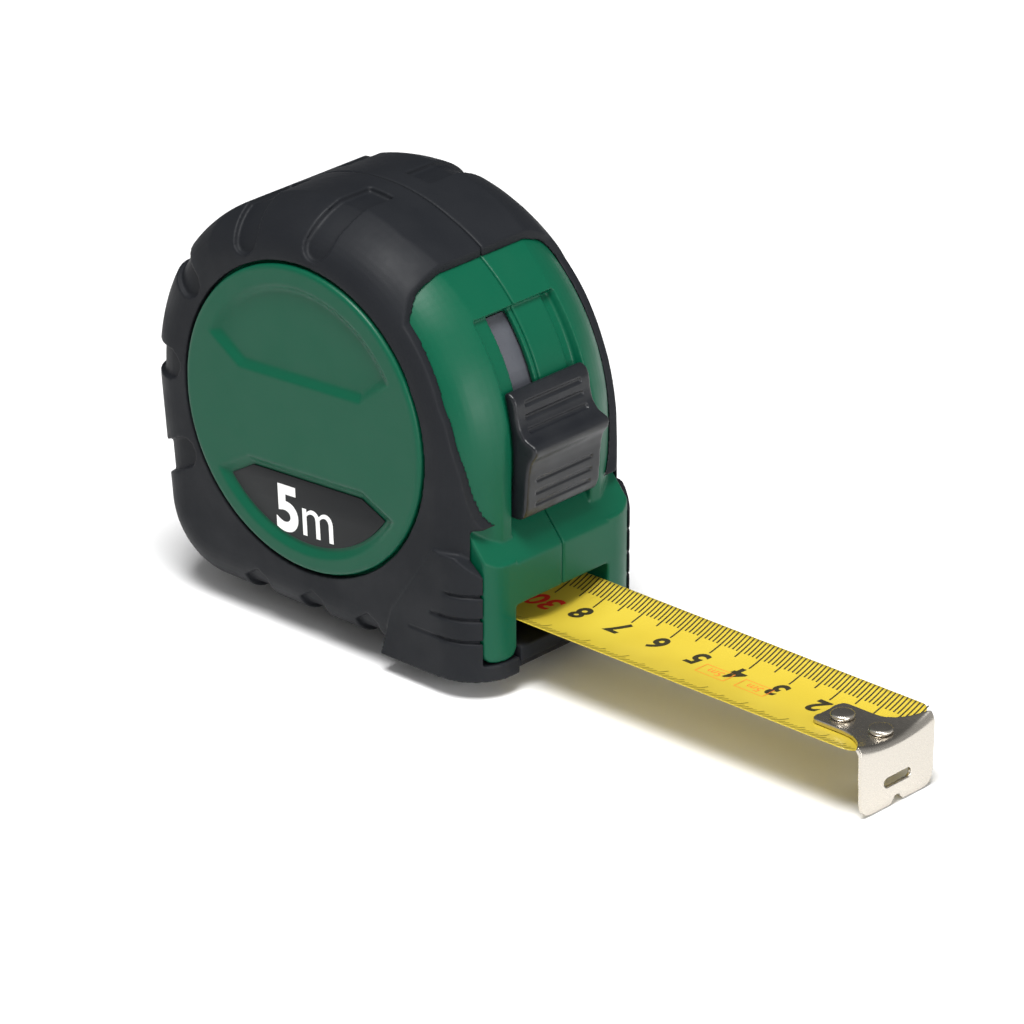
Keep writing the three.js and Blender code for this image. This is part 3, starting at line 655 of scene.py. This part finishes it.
def front_block():
    """Sloped chin over the mouth, its lip, and a leg on each side of the blade."""
    wall_front = FRONT_ARC[0] + TRACK_RADIUS
    rail_front = on_arc(FRONT_ARC, RAIL_RADIUS, SLOT_BOTTOM)[0]
    chin = [
        (rail_front - 0.6, CHIN_TOP),
        (rail_front, CHIN_TOP),
        (CHIN_REACH - 0.5, CHIN_SHOULDER),
        (CHIN_REACH, CHIN_SHOULDER - 0.8),
        (CHIN_REACH, LIP_HEIGHT),
        (wall_front, LIP_HEIGHT),
        (wall_front, CHIN_TOP - 3.4),
    ]
    made = slab("chin", chin, -CHIN_HALF, CHIN_HALF)
    for side in (-1, 1):
        near, distant = span(side, MOUTH_HALF, LEG_HALF)
        leg = [(distant, LEG_TOP), (near, LEG_TOP)]
        leg += arc_points((near + LEG_END, LEG_BOTTOM + LEG_END), LEG_END, math.pi, 1.5 * math.pi, 12)
        leg += arc_points((distant - LEG_END, LEG_BOTTOM + LEG_END), LEG_END, -math.pi / 2, 0, 12)
        post = keep(bar("leg", leg, WALL_BACK + 1, CHIN_REACH), front_prism(CHIN_REACH))
        lean = (CHIN_REACH - 0.5 - rail_front) / (CHIN_TOP - CHIN_SHOULDER)
        edge = CHIN_REACH - 0.5
        slope = [(edge, CHIN_SHOULDER), (FAR, CHIN_SHOULDER), (FAR, 0), (edge + lean * CHIN_SHOULDER, 0)]
        join(made, cut(post, slab("slope", slope, -FAR, FAR)))
    return made


def shell_body():
    body = case_body(SHELL_INSET, "shell")
    rim = 0.7
    edge = [(DISC_RADIUS - rim, DISC_HALF), (DISC_RADIUS - 0.2, DISC_HALF - 0.25)]
    edge.append((DISC_RADIUS, DISC_HALF - rim))
    disc = [(0.01, -DISC_HALF), *[(r, -y) for r, y in edge], *reversed(edge), (0.01, DISC_HALF)]
    join(body, turned("disc", disc))
    room = case_body(CAVITY_INSET, "room")
    cut(room, slab("guard", sector(TRACK_RADIUS, FAR / 2, CHANNEL_BOTTOM - 0.05, 0.1), -FAR, FAR))
    cut(body, room)
    channel = sector(RAIL_RADIUS, FAR / 2, CHANNEL_BOTTOM, CHANNEL_TOP)
    cut(body, slab("channel", channel, -CHANNEL_HALF, CHANNEL_HALF))
    cut(body, slab("slot", sector(TRACK_RADIUS - 2, FAR / 2, SLOT_BOTTOM, CHANNEL_TOP), *SLOT_SIDES))
    groove = sector(RAIL_RADIUS - GROOVE_DEPTH, FAR / 2, SLOT_BOTTOM, CHANNEL_TOP)
    cut(body, slab("groove", groove, *GROOVE_SIDES))
    join(body, front_block())
    cut(body, block("mouth", WALL_BACK, FAR, -MOUTH_HALF, MOUTH_HALF, MOUTH_FLOOR, LIP_HEIGHT))
    # A thinned place at the back, where the tail of the drawn-in blade lies.
    tail_half = BLADE_HALF + FIT_GAP
    tail_top = BLADE_HEIGHT + BLADE_DISH + 2 * FIT_GAP
    cut(body, block("tail_room", TAIL_REACH, 0, -tail_half, tail_half, BLADE_HEIGHT - FIT_GAP, tail_top))
    for side in (-1, 1):
        cut(body, *[panel_cutter(side, panel) for panel in PANELS])
    return body


def half_of(body, side, name):
    half = copy_of(body, name)
    near, distant = span(side, SEAM_GAP, FAR)
    return keep(half, block("half", -FAR, FAR, near, distant, -FAR, FAR))


def screw_wells(obj, radius, start):
    for x, z in SCREW_PLACES:
        cut(obj, rod("well", radius, start, FAR, x, z))


class TAPE_OT_shells(bpy.types.Operator):
    """Moulded green shells with the round panels, the lock's track, the chin and the legs"""

    bl_idname = "tape.shells"
    bl_label = "Case shells"

    def execute(self, context):
        body = shell_body()
        for side, name in ((-1, "left"), (1, "right")):
            half = half_of(body, side, f"shell_{name}")
            if side > 0:
                screw_wells(half, SCREW_HEAD_RADIUS + 0.4, WELL_START)
            soften(half, settings().case.shell_grain)
            finish_piece(half, "case", material_of("shell"), "case_plastic", f"case_shell_{name}")
        bpy.data.objects.remove(body)
        return {"FINISHED"}


def grip_region():
    """Side view of where the rubber lies: everything behind the green front, and the feet."""
    brow = (0.4, 0.0)
    return [
        on_arc(FRONT_ARC, FRONT_ARC[2] + 4, math.radians(60.5)),
        (24.2, 31.2),
        *arc_points(brow, DISC_RADIUS + 5, math.radians(47), math.radians(20), 18),
        *GRIP_EDGE,
        (FOOT_REACH - 1.6, FOOT_TOP),
        (FOOT_REACH, FOOT_TOP - 5),
        (FOOT_REACH, -FAR),
        (-FAR, -FAR),
        (-FAR, FAR),
        (0, FAR),
    ]


TREAD_ANGLES = [math.radians(a) for a in (86, 116, 147, 178, 207)]
TREAD_START = 33.8  # mm from the drum's axis, the notches' lower ends
TREAD_BASE_PLACES = (-14.0, 1.0, 16.0)  # notches along the lower edge


def treads():
    """Notches over the rim: round-ended bars that go in by the tread's depth."""
    case = settings().case
    half = case.tread_width / MM / 2
    made = None
    for angle in TREAD_ANGLES:
        out = (math.cos(angle), math.sin(angle))
        aside = (-out[1], out[0])
        end = TREAD_START + half
        local = [(FAR / 2, -half), (FAR / 2, half)]
        local += arc_points((end, 0), half, math.pi / 2, 1.5 * math.pi, 16)
        outline = [(r * out[0] + t * aside[0], r * out[1] + t * aside[1]) for r, t in local]
        for side in (-1, 1):
            notch = slab("notch", outline, *span(side, 5.0, FAR))
            made = join(made, notch) if made else notch
    for x in TREAD_BASE_PLACES:
        outline = [(x - half, -FAR), (x + half * 0.6, -FAR)]
        outline += [(x + half, -37.5), (x + half * 0.2, -36.0), (x - half, -38.5)]
        for side in (-1, 1):
            join(made, slab("notch", outline, *span(side, SOLE_HALF + 3, FAR)))
    return cut(made, case_body(case.tread_depth / MM))


def foot_outline():
    return [
        (FOOT_REACH, BASE),
        (FOOT_REACH - 0.2, FOOT_TOP - 4.5),
        (FOOT_REACH - 1.6, FOOT_TOP),
        (39.5, FOOT_TOP + 4.2),
        (34.5, FOOT_TOP + 4.6),
        (23.5, -33.0),
        (20.5, BASE),
    ]


FOOT_RIBS = ((37.0, -25.0), (33.6, -30.0), (28.0, -34.7))  # start and height of each groove


def grip_body():
    body = keep(case_body(0, "grip"), slab("region", grip_region(), -FAR, FAR))
    cut(body, treads())
    for side in (-1, 1):
        foot = slab("foot", foot_outline(), *span(side, LEG_HALF + FIT_GAP, FOOT_HALF + 1))
        toe_sides = span(side, SOLE_HALF + FIT_GAP, FOOT_HALF + 1)
        join(foot, block("toe", WALL_BACK, FOOT_REACH, *toe_sides, BASE, LEG_BOTTOM - FIT_GAP))
        keep(foot, front_prism(FOOT_REACH))
        for x, z in FOOT_RIBS:
            rib = block("rib", x, FOOT_REACH - 2.2, *span(side, LEG_HALF, FAR), z - 0.4, z + 0.4)
            cut(foot, cut(rib, front_prism(FOOT_REACH, 0.7)))
        join(body, foot)
    cut(body, case_body(GRIP_THICKNESS + 0.2), rod("round", DISC_RADIUS + 0.6, -FAR, FAR, sides=128))
    window_half = LEG_HALF + FIT_GAP
    window_top = CHIN_TOP + 3 * FIT_GAP
    cut(body, block("window", WALL_BACK, FAR, -window_half, window_half, LEG_BOTTOM - FIT_GAP, window_top))
    sole_half = SOLE_HALF + FIT_GAP
    cut(body, block("sole", SOLE_BACK - FIT_GAP, FAR, -sole_half, sole_half, -FAR, LIP_TOP))
    return body


class TAPE_OT_grips(bpy.types.Operator):
    """Overmoulded rubber grips with their tread notches and the ribbed feet"""

    bl_idname = "tape.grips"
    bl_label = "Rubber grips"

    def execute(self, context):
        body = grip_body()
        for side, name in ((-1, "left"), (1, "right")):
            half = half_of(body, side, f"rubber_grip_{name}")
            if side > 0:
                screw_wells(half, SCREW_HEAD_RADIUS + 1, 0)
            soften(half, settings().case.grip_grain)
            finish_piece(half, "case", material_of("grip"), "grip_rubber", f"grip_{name}")
        bpy.data.objects.remove(body)
        return {"FINISHED"}


class TAPE_OT_bumper(bpy.types.Operator):
    """Middle of the sole, the lip below the blade and the mouth's dark floor"""

    bl_idname = "tape.bumper"
    bl_label = "Mouth bumper"

    def execute(self, context):
        lip_back = FRONT_ARC[0] + FRONT_ARC[2] - GRIP_THICKNESS
        sole_end = FOOT_REACH - 1.8
        floor_back, floor = WALL_BACK + 1, MOUTH_FLOOR + 0.05
        outline = [
            (SOLE_BACK, BASE), (sole_end, BASE), (sole_end + 0.8, LIP_BOTTOM), (FOOT_REACH, LIP_BOTTOM),
            (FOOT_REACH, LIP_TOP), (floor_back, LIP_TOP), (floor_back, floor), (lip_back, floor),
            (lip_back, BASE + GRIP_THICKNESS), (SOLE_BACK, BASE + GRIP_THICKNESS),
        ]
        lip = bevelled(slab("sole_and_lip", outline, -SOLE_HALF, SOLE_HALF), 0.4)
        finish_piece(lip, "case", material_of("grip"), "grip_rubber", "mouth_bumper")
        return {"FINISHED"}


# ---- Print ---------------------------------------------------------------------------------


def lettering(name, text, height, slant=0.0, weight=0.0, spacing=1.0):
    """Letters as a flat mesh, centred across, standing on y = 0, `height` mm tall."""
    curve = bpy.data.curves.new(name, "FONT")
    curve.body = text
    curve.align_x = "CENTER"
    curve.size = height * MM / 0.73
    curve.shear = slant
    curve.offset = weight * MM
    curve.space_character = spacing
    curve.resolution_u = 8
    maker = linked(name, curve)
    bpy.context.view_layer.update()
    mesh = bpy.data.meshes.new_from_object(maker.evaluated_get(bpy.context.evaluated_depsgraph_get()))
    bpy.data.objects.remove(maker)
    return linked(name, mesh)


def merged(name, objects):
    """Several flat pieces as one object."""
    edit = bmesh.new()
    for obj in objects:
        edit.from_mesh(obj.data)
        bpy.data.objects.remove(obj)
    mesh = bpy.data.meshes.new(name)
    edit.to_mesh(mesh)
    edit.free()
    return linked(name, mesh)


class TAPE_OT_labels(bpy.types.Operator):
    """Dark label in the lower recess of each round panel, with the blade's length on it"""

    bl_idname = "tape.labels"
    bl_label = "Labels"

    def execute(self, context):
        depth = settings().case.panel_depth / MM
        up, corner, end, radius = PANELS[1]
        face = DISC_HALF - depth + 0.3
        for side, name in ((-1, "left"), (1, "right")):
            outline = panel_outline(up, corner, end, radius, 2.1)
            plate = slab(f"size_label_{name}", outline, *span(side, DISC_HALF - depth + 0.02, face))
            bevelled(plate, 0.1, 2)
            finish_piece(plate, "case", material_of("label"), "label", f"label_{name}")
            number = lettering(f"label_number_{name}", "5", 9.6, weight=0.42)
            number.data.transform(Matrix.Translation((-4.6 * MM, 0, 0)))
            unit = lettering(f"label_unit_{name}", "m", 9.2)
            unit.data.transform(Matrix.Translation((3.6 * MM, 0, 0)))
            text = merged(f"label_size_{name}", [number, unit])
            place = Matrix.Translation((0, side * (face + 0.03) * MM, (AXIS_HEIGHT - 24.6) * MM))
            stand = Matrix.Rotation(math.pi / 2, 4, "X")
            turn = Matrix.Rotation(-PANEL_TILT, 4, "Y") @ Matrix.Rotation(0 if side < 0 else math.pi, 4, "Z")
            text.data.transform(place @ turn @ stand)
            finish_piece(text, "case", material_of("white_ink"), "label")
        return {"FINISHED"}


# ---- Blade ---------------------------------------------------------------------------------


def dish(y):
    return BLADE_DISH * (y / BLADE_HALF) ** 2


def print_height(y):
    return BLADE_HEIGHT + dish(y) + BLADE_THICKNESS / 2 + 0.03


def tick_faces(ticks, width):
    """Flat ticks across the blade that follow its dish, from (x, y start, y end)."""
    points, faces = [], []
    for x, y0, y1 in ticks:
        steps = 6
        for i in range(steps + 1):
            y = y0 + (y1 - y0) * i / steps
            start = len(points)
            points += [(x - width / 2, y, print_height(y)), (x + width / 2, y, print_height(y))]
            if i:
                faces.append((start - 2, start - 1, start + 1, start))
    return points, faces


def lay_on_blade(obj, x, y, subdivisions=2):
    """Puts flat lettering on the dished blade, read from the far side."""
    edit = bmesh.new()
    edit.from_mesh(obj.data)
    bmesh.ops.triangulate(edit, faces=edit.faces)
    bmesh.ops.subdivide_edges(edit, edges=edit.edges, cuts=subdivisions, use_grid_fill=True)
    for vertex in edit.verts:
        px, py = x - vertex.co.x / MM, y - vertex.co.y / MM
        vertex.co = (px * MM, py * MM, (print_height(py) + AXIS_HEIGHT) * MM)
    edit.to_mesh(obj.data)
    edit.free()
    return obj


def frame_box(name, x0, x1, y0, y1, line):
    """A thin rectangle drawn on the blade."""
    sides = [(x0, x1, y0, y0 + line), (x0, x1, y1 - line, y1)]
    sides += [(x0, x0 + line, y0, y1), (x1 - line, x1, y0, y1)]
    points, faces = [], []
    for a0, a1, b0, b1 in sides:
        start = len(points)
        points += [(a, b, print_height(b)) for a, b in ((a0, b0), (a1, b0), (a1, b1), (a0, b1))]
        faces.append(tuple(range(start, start + 4)))
    return mesh_object(name, points, faces)


PRINT_START = 34.0  # mm, the print seen deepest in the mouth


class TAPE_OT_blade(bpy.types.Operator):
    """Dished yellow blade from the drum to the hook, with its ticks and numbers"""

    bl_idname = "tape.blade"
    bl_label = "Blade"

    def execute(self, context):
        self.strip()
        self.ticks()
        self.numbers()
        return {"FINISHED"}

    def strip(self):
        low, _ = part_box("blade_coil")
        coil_bottom = low.z / MM - AXIS_HEIGHT
        start_height = coil_bottom - BLADE_DISH - 0.4
        half_thickness = BLADE_THICKNESS / 2
        corner = 2.2
        rings = []
        stations = [i * 1.0 for i in range(int(BLADE_END - corner) + 1)]
        stations += [BLADE_END - corner + corner * i / 6 for i in range(1, 7)]
        for x in stations:
            blend = min(max((x - 4) / 22, 0), 1)
            blend = blend * blend * (3 - 2 * blend)
            middle = start_height + (BLADE_HEIGHT - start_height) * blend
            short = max(0.0, x - (BLADE_END - corner))
            half = BLADE_HALF - (corner - math.sqrt(max(corner**2 - short**2, 0)))
            across = [-half + 2 * half * i / 24 for i in range(25)]
            under = [(x, y, middle + dish(y) - half_thickness) for y in across]
            over = [(x, y, middle + dish(y) + half_thickness) for y in reversed(across)]
            rings.append(under + over)
        strip = loft("yellow_blade", rings)
        strip.data.materials.append(material_of("blade"))
        strip.data.shade_smooth()
        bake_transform(strip)
        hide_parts("blade_strip", "blade_lead")

    def ticks(self):
        width = settings().blade.tick_width / MM
        last = int(HOOK_INSIDE - PRINT_START)
        black, olive = [], []
        for mm in range(2, last + 1):
            x = HOOK_INSIDE - mm
            reach = 7.6 if mm % 10 == 0 else 6.0 if mm % 5 == 0 else 4.4
            black.append((x, BLADE_HALF - 0.1, BLADE_HALF - reach))
            near = 5.4 if mm % 10 == 0 else 4.2 if mm % 5 == 0 else 3.2
            olive.append((x, -BLADE_HALF + 0.1, -BLADE_HALF + near))
        for name, ticks, thickness, ink in (
            ("black_ticks", black, width, "black_ink"),
            ("olive_ticks", olive, width * 0.8, "olive_ink"),
        ):
            made = mesh_object(name, *tick_faces(ticks, thickness))
            self.finish_print(made, ink)

    def finish_print(self, obj, ink):
        """Gives a piece of print its ink and bakes its placement into the mesh."""
        obj.data.materials.clear()
        obj.data.materials.append(material_of(ink))
        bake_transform(obj)

    def numbers(self):
        blade = settings().blade
        height = blade.digit_height / MM
        digits = []
        for number in range(blade.first_number, blade.last_number + 1):
            digit = lettering("digit", str(number), height, slant=0.25, weight=0.22)
            digits.append(lay_on_blade(digit, HOOK_INSIDE - 10 * number, 4.0))
        self.finish_print(merged("black_numbers", digits), "black_ink")
        tens = lay_on_blade(lettering("red_number", "30", 5.2, slant=0.25, weight=0.2), 40.6, 3.2)
        self.finish_print(tens, "red_ink")
        marks = []
        for middle in (95.0, 85.2):
            marks.append(frame_box("mark_box", middle - 3.6, middle + 3.6, -2.2, 1.6, 0.16))
            marks.append(lay_on_blade(lettering("mark", "5m", 2.2, slant=0.15), middle, 0.8))
        self.finish_print(merged("orange_marks", marks), "orange_ink")


# ---- Hook ----------------------------------------------------------------------------------


FLARE_START = 8.0  # mm from the tongue's end, where the hook starts to widen
BEND_RADIUS = 0.85
HOOK_TAPER = 0.4  # mm each side, from the bend to the lower edge


def hook_half_width(u, bend, total):
    """Half-width of the hook's blank at `u` mm from the tongue's end."""
    tip, corner = 2.0, 2.6
    if u < tip:
        return TONGUE_HALF - tip + math.sqrt(max(tip**2 - (tip - u) ** 2, 0))
    if u < FLARE_START:
        return TONGUE_HALF
    if u < bend:
        t = (u - FLARE_START) / (bend - FLARE_START)
        return TONGUE_HALF + (HOOK_HALF - TONGUE_HALF) * t**2.2
    if u > total - corner:
        return HOOK_HALF - HOOK_TAPER - corner + math.sqrt(max(corner**2 - (u - total + corner) ** 2, 0))
    return HOOK_HALF - HOOK_TAPER * (u - bend) / (total - bend)


class TAPE_OT_hook(bpy.types.Operator):
    """Pressed end hook with its bend, pull slot and notch, and the two rivets"""

    bl_idname = "tape.hook"
    bl_label = "End hook"

    def execute(self, context):
        self.hook()
        for i, x in enumerate(RIVET_PLACES, 1):
            self.rivet(x, f"rivet_{i}", f"hook_rivet_{i}")
        return {"FINISHED"}

    def hook(self):
        """The blank's middle surface, bent down at the front, then thickened to both sides."""
        lift = BLADE_HEIGHT + BLADE_THICKNESS / 2 + 0.1 + HOOK_THICKNESS / 2
        face = HOOK_INSIDE + HOOK_THICKNESS / 2
        flat = face - BEND_RADIUS - TONGUE_END
        arc = BEND_RADIUS * math.pi / 2
        down = lift - BEND_RADIUS - HOOK_BOTTOM
        total = flat + arc + down
        columns = 24
        points, faces = [], []
        steps = 120
        for i in range(steps + 1):
            u = total * i / steps
            half = max(hook_half_width(u, flat, total), 0.3)
            for j in range(columns + 1):
                y = -half + 2 * half * j / columns
                bow = dish(y)
                if u < flat:
                    points.append((TONGUE_END + u, y, lift + bow))
                elif u < flat + arc:
                    angle = (u - flat) / BEND_RADIUS
                    x = face - BEND_RADIUS + BEND_RADIUS * math.sin(angle)
                    z = lift - BEND_RADIUS + BEND_RADIUS * math.cos(angle) + bow * (1 - angle / math.pi)
                    points.append((x, y, z))
                else:
                    t = (u - flat - arc) / down
                    top = lift - BEND_RADIUS + bow * 0.5
                    points.append((face, y, top + (HOOK_BOTTOM - top) * t))
        row = columns + 1
        for i in range(steps):
            for j in range(columns):
                a = i * row + j
                faces.append((a, a + 1, a + row + 1, a + row))
        hook = mesh_object("hook", points, faces)
        thick = hook.modifiers.new("Thickness", "SOLIDIFY")
        thick.thickness = (HOOK_THICKNESS - 0.06) * MM
        thick.offset = 0
        apply_modifiers(hook)
        slot_height = HOOK_BOTTOM + 5
        slot = arc_points((-3, slot_height), 0.95, math.pi / 2, 1.5 * math.pi, 12)
        slot += arc_points((3, slot_height), 0.95, -math.pi / 2, math.pi / 2, 12)
        cut(hook, bar("slot", slot, HOOK_INSIDE - 1, FAR))
        notch = [(-1.9, HOOK_BOTTOM - 1), (1.9, HOOK_BOTTOM - 1), (1.7, HOOK_BOTTOM)]
        notch += [(0.5, HOOK_BOTTOM + 1.5), (-0.5, HOOK_BOTTOM + 1.5), (-1.7, HOOK_BOTTOM)]
        cut(hook, bar("notch", notch, HOOK_INSIDE - 1, FAR))
        soften(hook, 0.2 * MM, 3)
        finish_piece(hook, "hook", material_of("metal"), "nickel", "end_hook")

    def rivet(self, x, name, node):
        low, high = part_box(node)
        bottom, top = low.z / MM - AXIS_HEIGHT, high.z / MM - AXIS_HEIGHT
        radius = (high.x - low.x) / 2 / MM
        sides = 40
        profile = [
            (0.3, bottom), (radius * 0.8, bottom), (radius * 0.8, bottom + 0.5), (0.95, bottom + 0.5),
            (0.95, top - 0.9), (radius - 0.15, top - 0.9), (radius, top - 0.75), (radius, top - 0.35),
            (radius - 0.12, top - 0.12), (radius - 0.45, top), (0.3, top),
        ]
        rings = []
        for r, z in profile:
            circle = [2 * math.pi * k / sides for k in range(sides)]
            rings.append([(x + r * math.cos(a), r * math.sin(a), z) for a in circle])
        finish_piece(loft(name, rings), "blade", material_of("metal"), "nickel", node)


# ---- Lock ----------------------------------------------------------------------------------


BUTTON_TOP = math.radians(19.6)
BUTTON_BOTTOM = math.radians(-17)
BUTTON_HALF = 10.6
BUTTON_FACE = (
    (42.4, 12.6), (43.1, 11.2), (43.4, 8.6), (44.0, 6.4), (45.4, 4.7), (47.9, 3.9), (48.4, 3.0), (48.1, 1.8),
    (46.9, 0.2), (46.3, -2.2), (46.0, -6.0), (45.7, -10.0), (44.9, -12.0), (43.6, -12.6),
)
GROOVE_RADIUS = 0.62
BUTTON_GROOVES = (  # place, height and half length of each
    (43.15, 10.9, 8.0), (43.6, 8.3, 8.2), (44.5, 5.9, 8.4),
    (46.3, -4.2, 8.0), (46.1, -6.9, 8.0), (45.9, -9.4, 7.8),
)


class TAPE_OT_lock(bpy.types.Operator):
    """Thumb button of the lock, with its ledge and grip grooves"""

    bl_idname = "tape.lock"
    bl_label = "Lock button"

    def execute(self, context):
        back = RAIL_RADIUS + FIT_GAP
        upper = on_arc(FRONT_ARC, back, BUTTON_TOP)
        outline = [(upper[0] + 1.2, upper[1] + 0.6), *BUTTON_FACE]
        outline += arc_points(FRONT_ARC, back, BUTTON_BOTTOM, BUTTON_TOP, 24)
        button = soften(slab("thumb_button", outline, -BUTTON_HALF, BUTTON_HALF), 0.3 * MM, 14)
        for x, z, half in BUTTON_GROOVES:
            cut(button, rod("groove", GROOVE_RADIUS, -half, half, x + 0.15, z, 24))
        soften(button, 0.2 * MM, 2)
        stem_top, stem_bottom = BUTTON_TOP - 0.08, BUTTON_BOTTOM + 0.05
        stem = sector(TRACK_RADIUS - 0.35, back + 0.5, stem_bottom, stem_top, 16)
        join(button, slab("stem", stem, SLOT_SIDES[0] + 0.4, SLOT_SIDES[1] - 0.4))
        finish_piece(button, "lock", material_of("lock"), "button_plastic", "lock_button")
        return {"FINISHED"}


# ---- Pieces that keep the frame's own shape ---------------------------------------------------


KEPT_NODES = {
    "centre_post": "steel",
    "belt_clip": "steel",
    "clip_screw": "steel",
    **{f"case_screw_{i}": "steel" for i in range(1, 5)},
    "spool_drum": "drum",
    "spring_cover": "drum",
    "blade_coil": "blade",
    "power_spring": "spring",
    "lock_slide": "slide",
    "brake_pad": "grip",
}


class TAPE_OT_works(bpy.types.Operator):
    """Finishes of the drum, springs, screws, clip and brake, which keep their own shapes"""

    bl_idname = "tape.works"
    bl_label = "Inner works and fasteners"

    def execute(self, context):
        for node, material in KEPT_NODES.items():
            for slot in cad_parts[node].material_slots:
                slot.link = "OBJECT"
                slot.material = material_of(material)
        return {"FINISHED"}


# ---- Stage ---------------------------------------------------------------------------------


CAMERA_PLACE = Vector((843.2, -880.6, 574.5)) * MM
CAMERA_TARGET = Vector((55.8, -25.43, 41.3)) * MM
CAMERA_LENS = 238.6  # mm, on a 36 mm wide sensor
FAR_SIDE = (-0.62, 0.66, 0.42)  # away from the camera and a little up


def aim(obj, place, target):
    """Puts a light or the camera at `place`, looking at `target`."""
    obj.location = place
    obj.rotation_euler = (target - place).to_track_quat("-Z", "Y").to_euler()


def area_light(name, place, target, size, power):
    light = bpy.data.lights.new(name, "AREA")
    light.shape = "RECTANGLE"
    light.size, light.size_y = size
    light.energy = power
    aim(linked(name, light), Vector(place), Vector(target))


class TAPE_OT_stage(bpy.types.Operator):
    """Plain pale floor, soft light and the camera"""

    bl_idname = "tape.stage"
    bl_label = "Stage"

    def execute(self, context):
        stage = settings().stage
        lowest = FRAME_BOUNDS[0].z - 0.0002
        size = 4.0  # m, half the floor's width
        mesh = bpy.data.meshes.new("floor")
        sides = ((-size, -size), (size, -size), (size, size), (-size, size))
        mesh.from_pydata([(x, y, lowest) for x, y in sides], [], [(0, 1, 2, 3)])
        floor = linked("floor", mesh)
        mesh.materials.append(base_material("matt_paper", stage.floor, 0.9)[0])
        world = bpy.data.worlds.new("studio")
        world.use_nodes = True
        self.surroundings(world.node_tree)
        context.scene.world = world
        context.scene.view_settings.view_transform = "Standard"
        middle = (0.02, 0, 0.04)
        area_light("key", (0.2, -0.3, 1.3), middle, (0.6, 0.6), stage.key_power)
        area_light("fill", (1.3, -0.2, 0.35), middle, (0.8, 0.5), stage.fill_power)
        camera_data = bpy.data.cameras.new("camera")
        camera_data.lens = CAMERA_LENS
        camera_data.sensor_width = 36
        camera = linked("camera", camera_data)
        aim(camera, CAMERA_PLACE, CAMERA_TARGET)
        context.scene.camera = camera
        return {"FINISHED"}

    def surroundings(self, tree):
        """Pale studio that is darker low down on the far side, so that flat tops stay dark."""
        direction = add_node(tree, "ShaderNodeTexCoord").outputs["Generated"]
        links = [(0, direction), (1, FAR_SIDE)]
        away = add_node(tree, "ShaderNodeVectorMath", links, operation="DOT_PRODUCT").outputs["Value"]
        strength = remapped(tree, away, 0.35, 0.9, 0.42, 0.1)
        tree.links.new(strength, tree.nodes["Background"].inputs["Strength"])
        tree.nodes["Background"].inputs["Color"].default_value = (1, 1, 1, 1)


# ---- Add-on --------------------------------------------------------------------------------


OPERATORS = (
    TAPE_OT_shells,
    TAPE_OT_grips,
    TAPE_OT_bumper,
    TAPE_OT_labels,
    TAPE_OT_blade,
    TAPE_OT_hook,
    TAPE_OT_lock,
    TAPE_OT_works,
    TAPE_OT_stage,
)


class TAPE_PT_panel(bpy.types.Panel):
    """Sizes, colours and builders of the tape measure"""

    bl_idname = "TAPE_PT_panel"
    bl_label = "Tape Measure"
    bl_space_type = "VIEW_3D"
    bl_region_type = "UI"
    bl_category = "Tape Measure"

    def draw(self, context):
        layout = self.layout
        chosen = context.scene.tape_measure
        for group in (chosen.case, chosen.blade, chosen.finish, chosen.stage):
            box = layout.box()
            for name in group.__annotations__:
                box.prop(group, name)
        for operator in OPERATORS:
            layout.operator(operator.bl_idname)


GROUPS = (TAPE_PG_case, TAPE_PG_blade, TAPE_PG_finish, TAPE_PG_stage, TAPE_PG_settings)
CLASSES = (*GROUPS, *OPERATORS, TAPE_PT_panel)


def register():
    for cls in CLASSES:
        bpy.utils.register_class(cls)
    bpy.types.Scene.tape_measure = bpy.props.PointerProperty(type=TAPE_PG_settings)


def unregister():
    del bpy.types.Scene.tape_measure
    for cls in reversed(CLASSES):
        bpy.utils.unregister_class(cls)


def main():
    register()
    for operator in OPERATORS:
        group, name = operator.bl_idname.split(".")
        getattr(getattr(bpy.ops, group), name)()


if __name__ == "__main__":
    main()
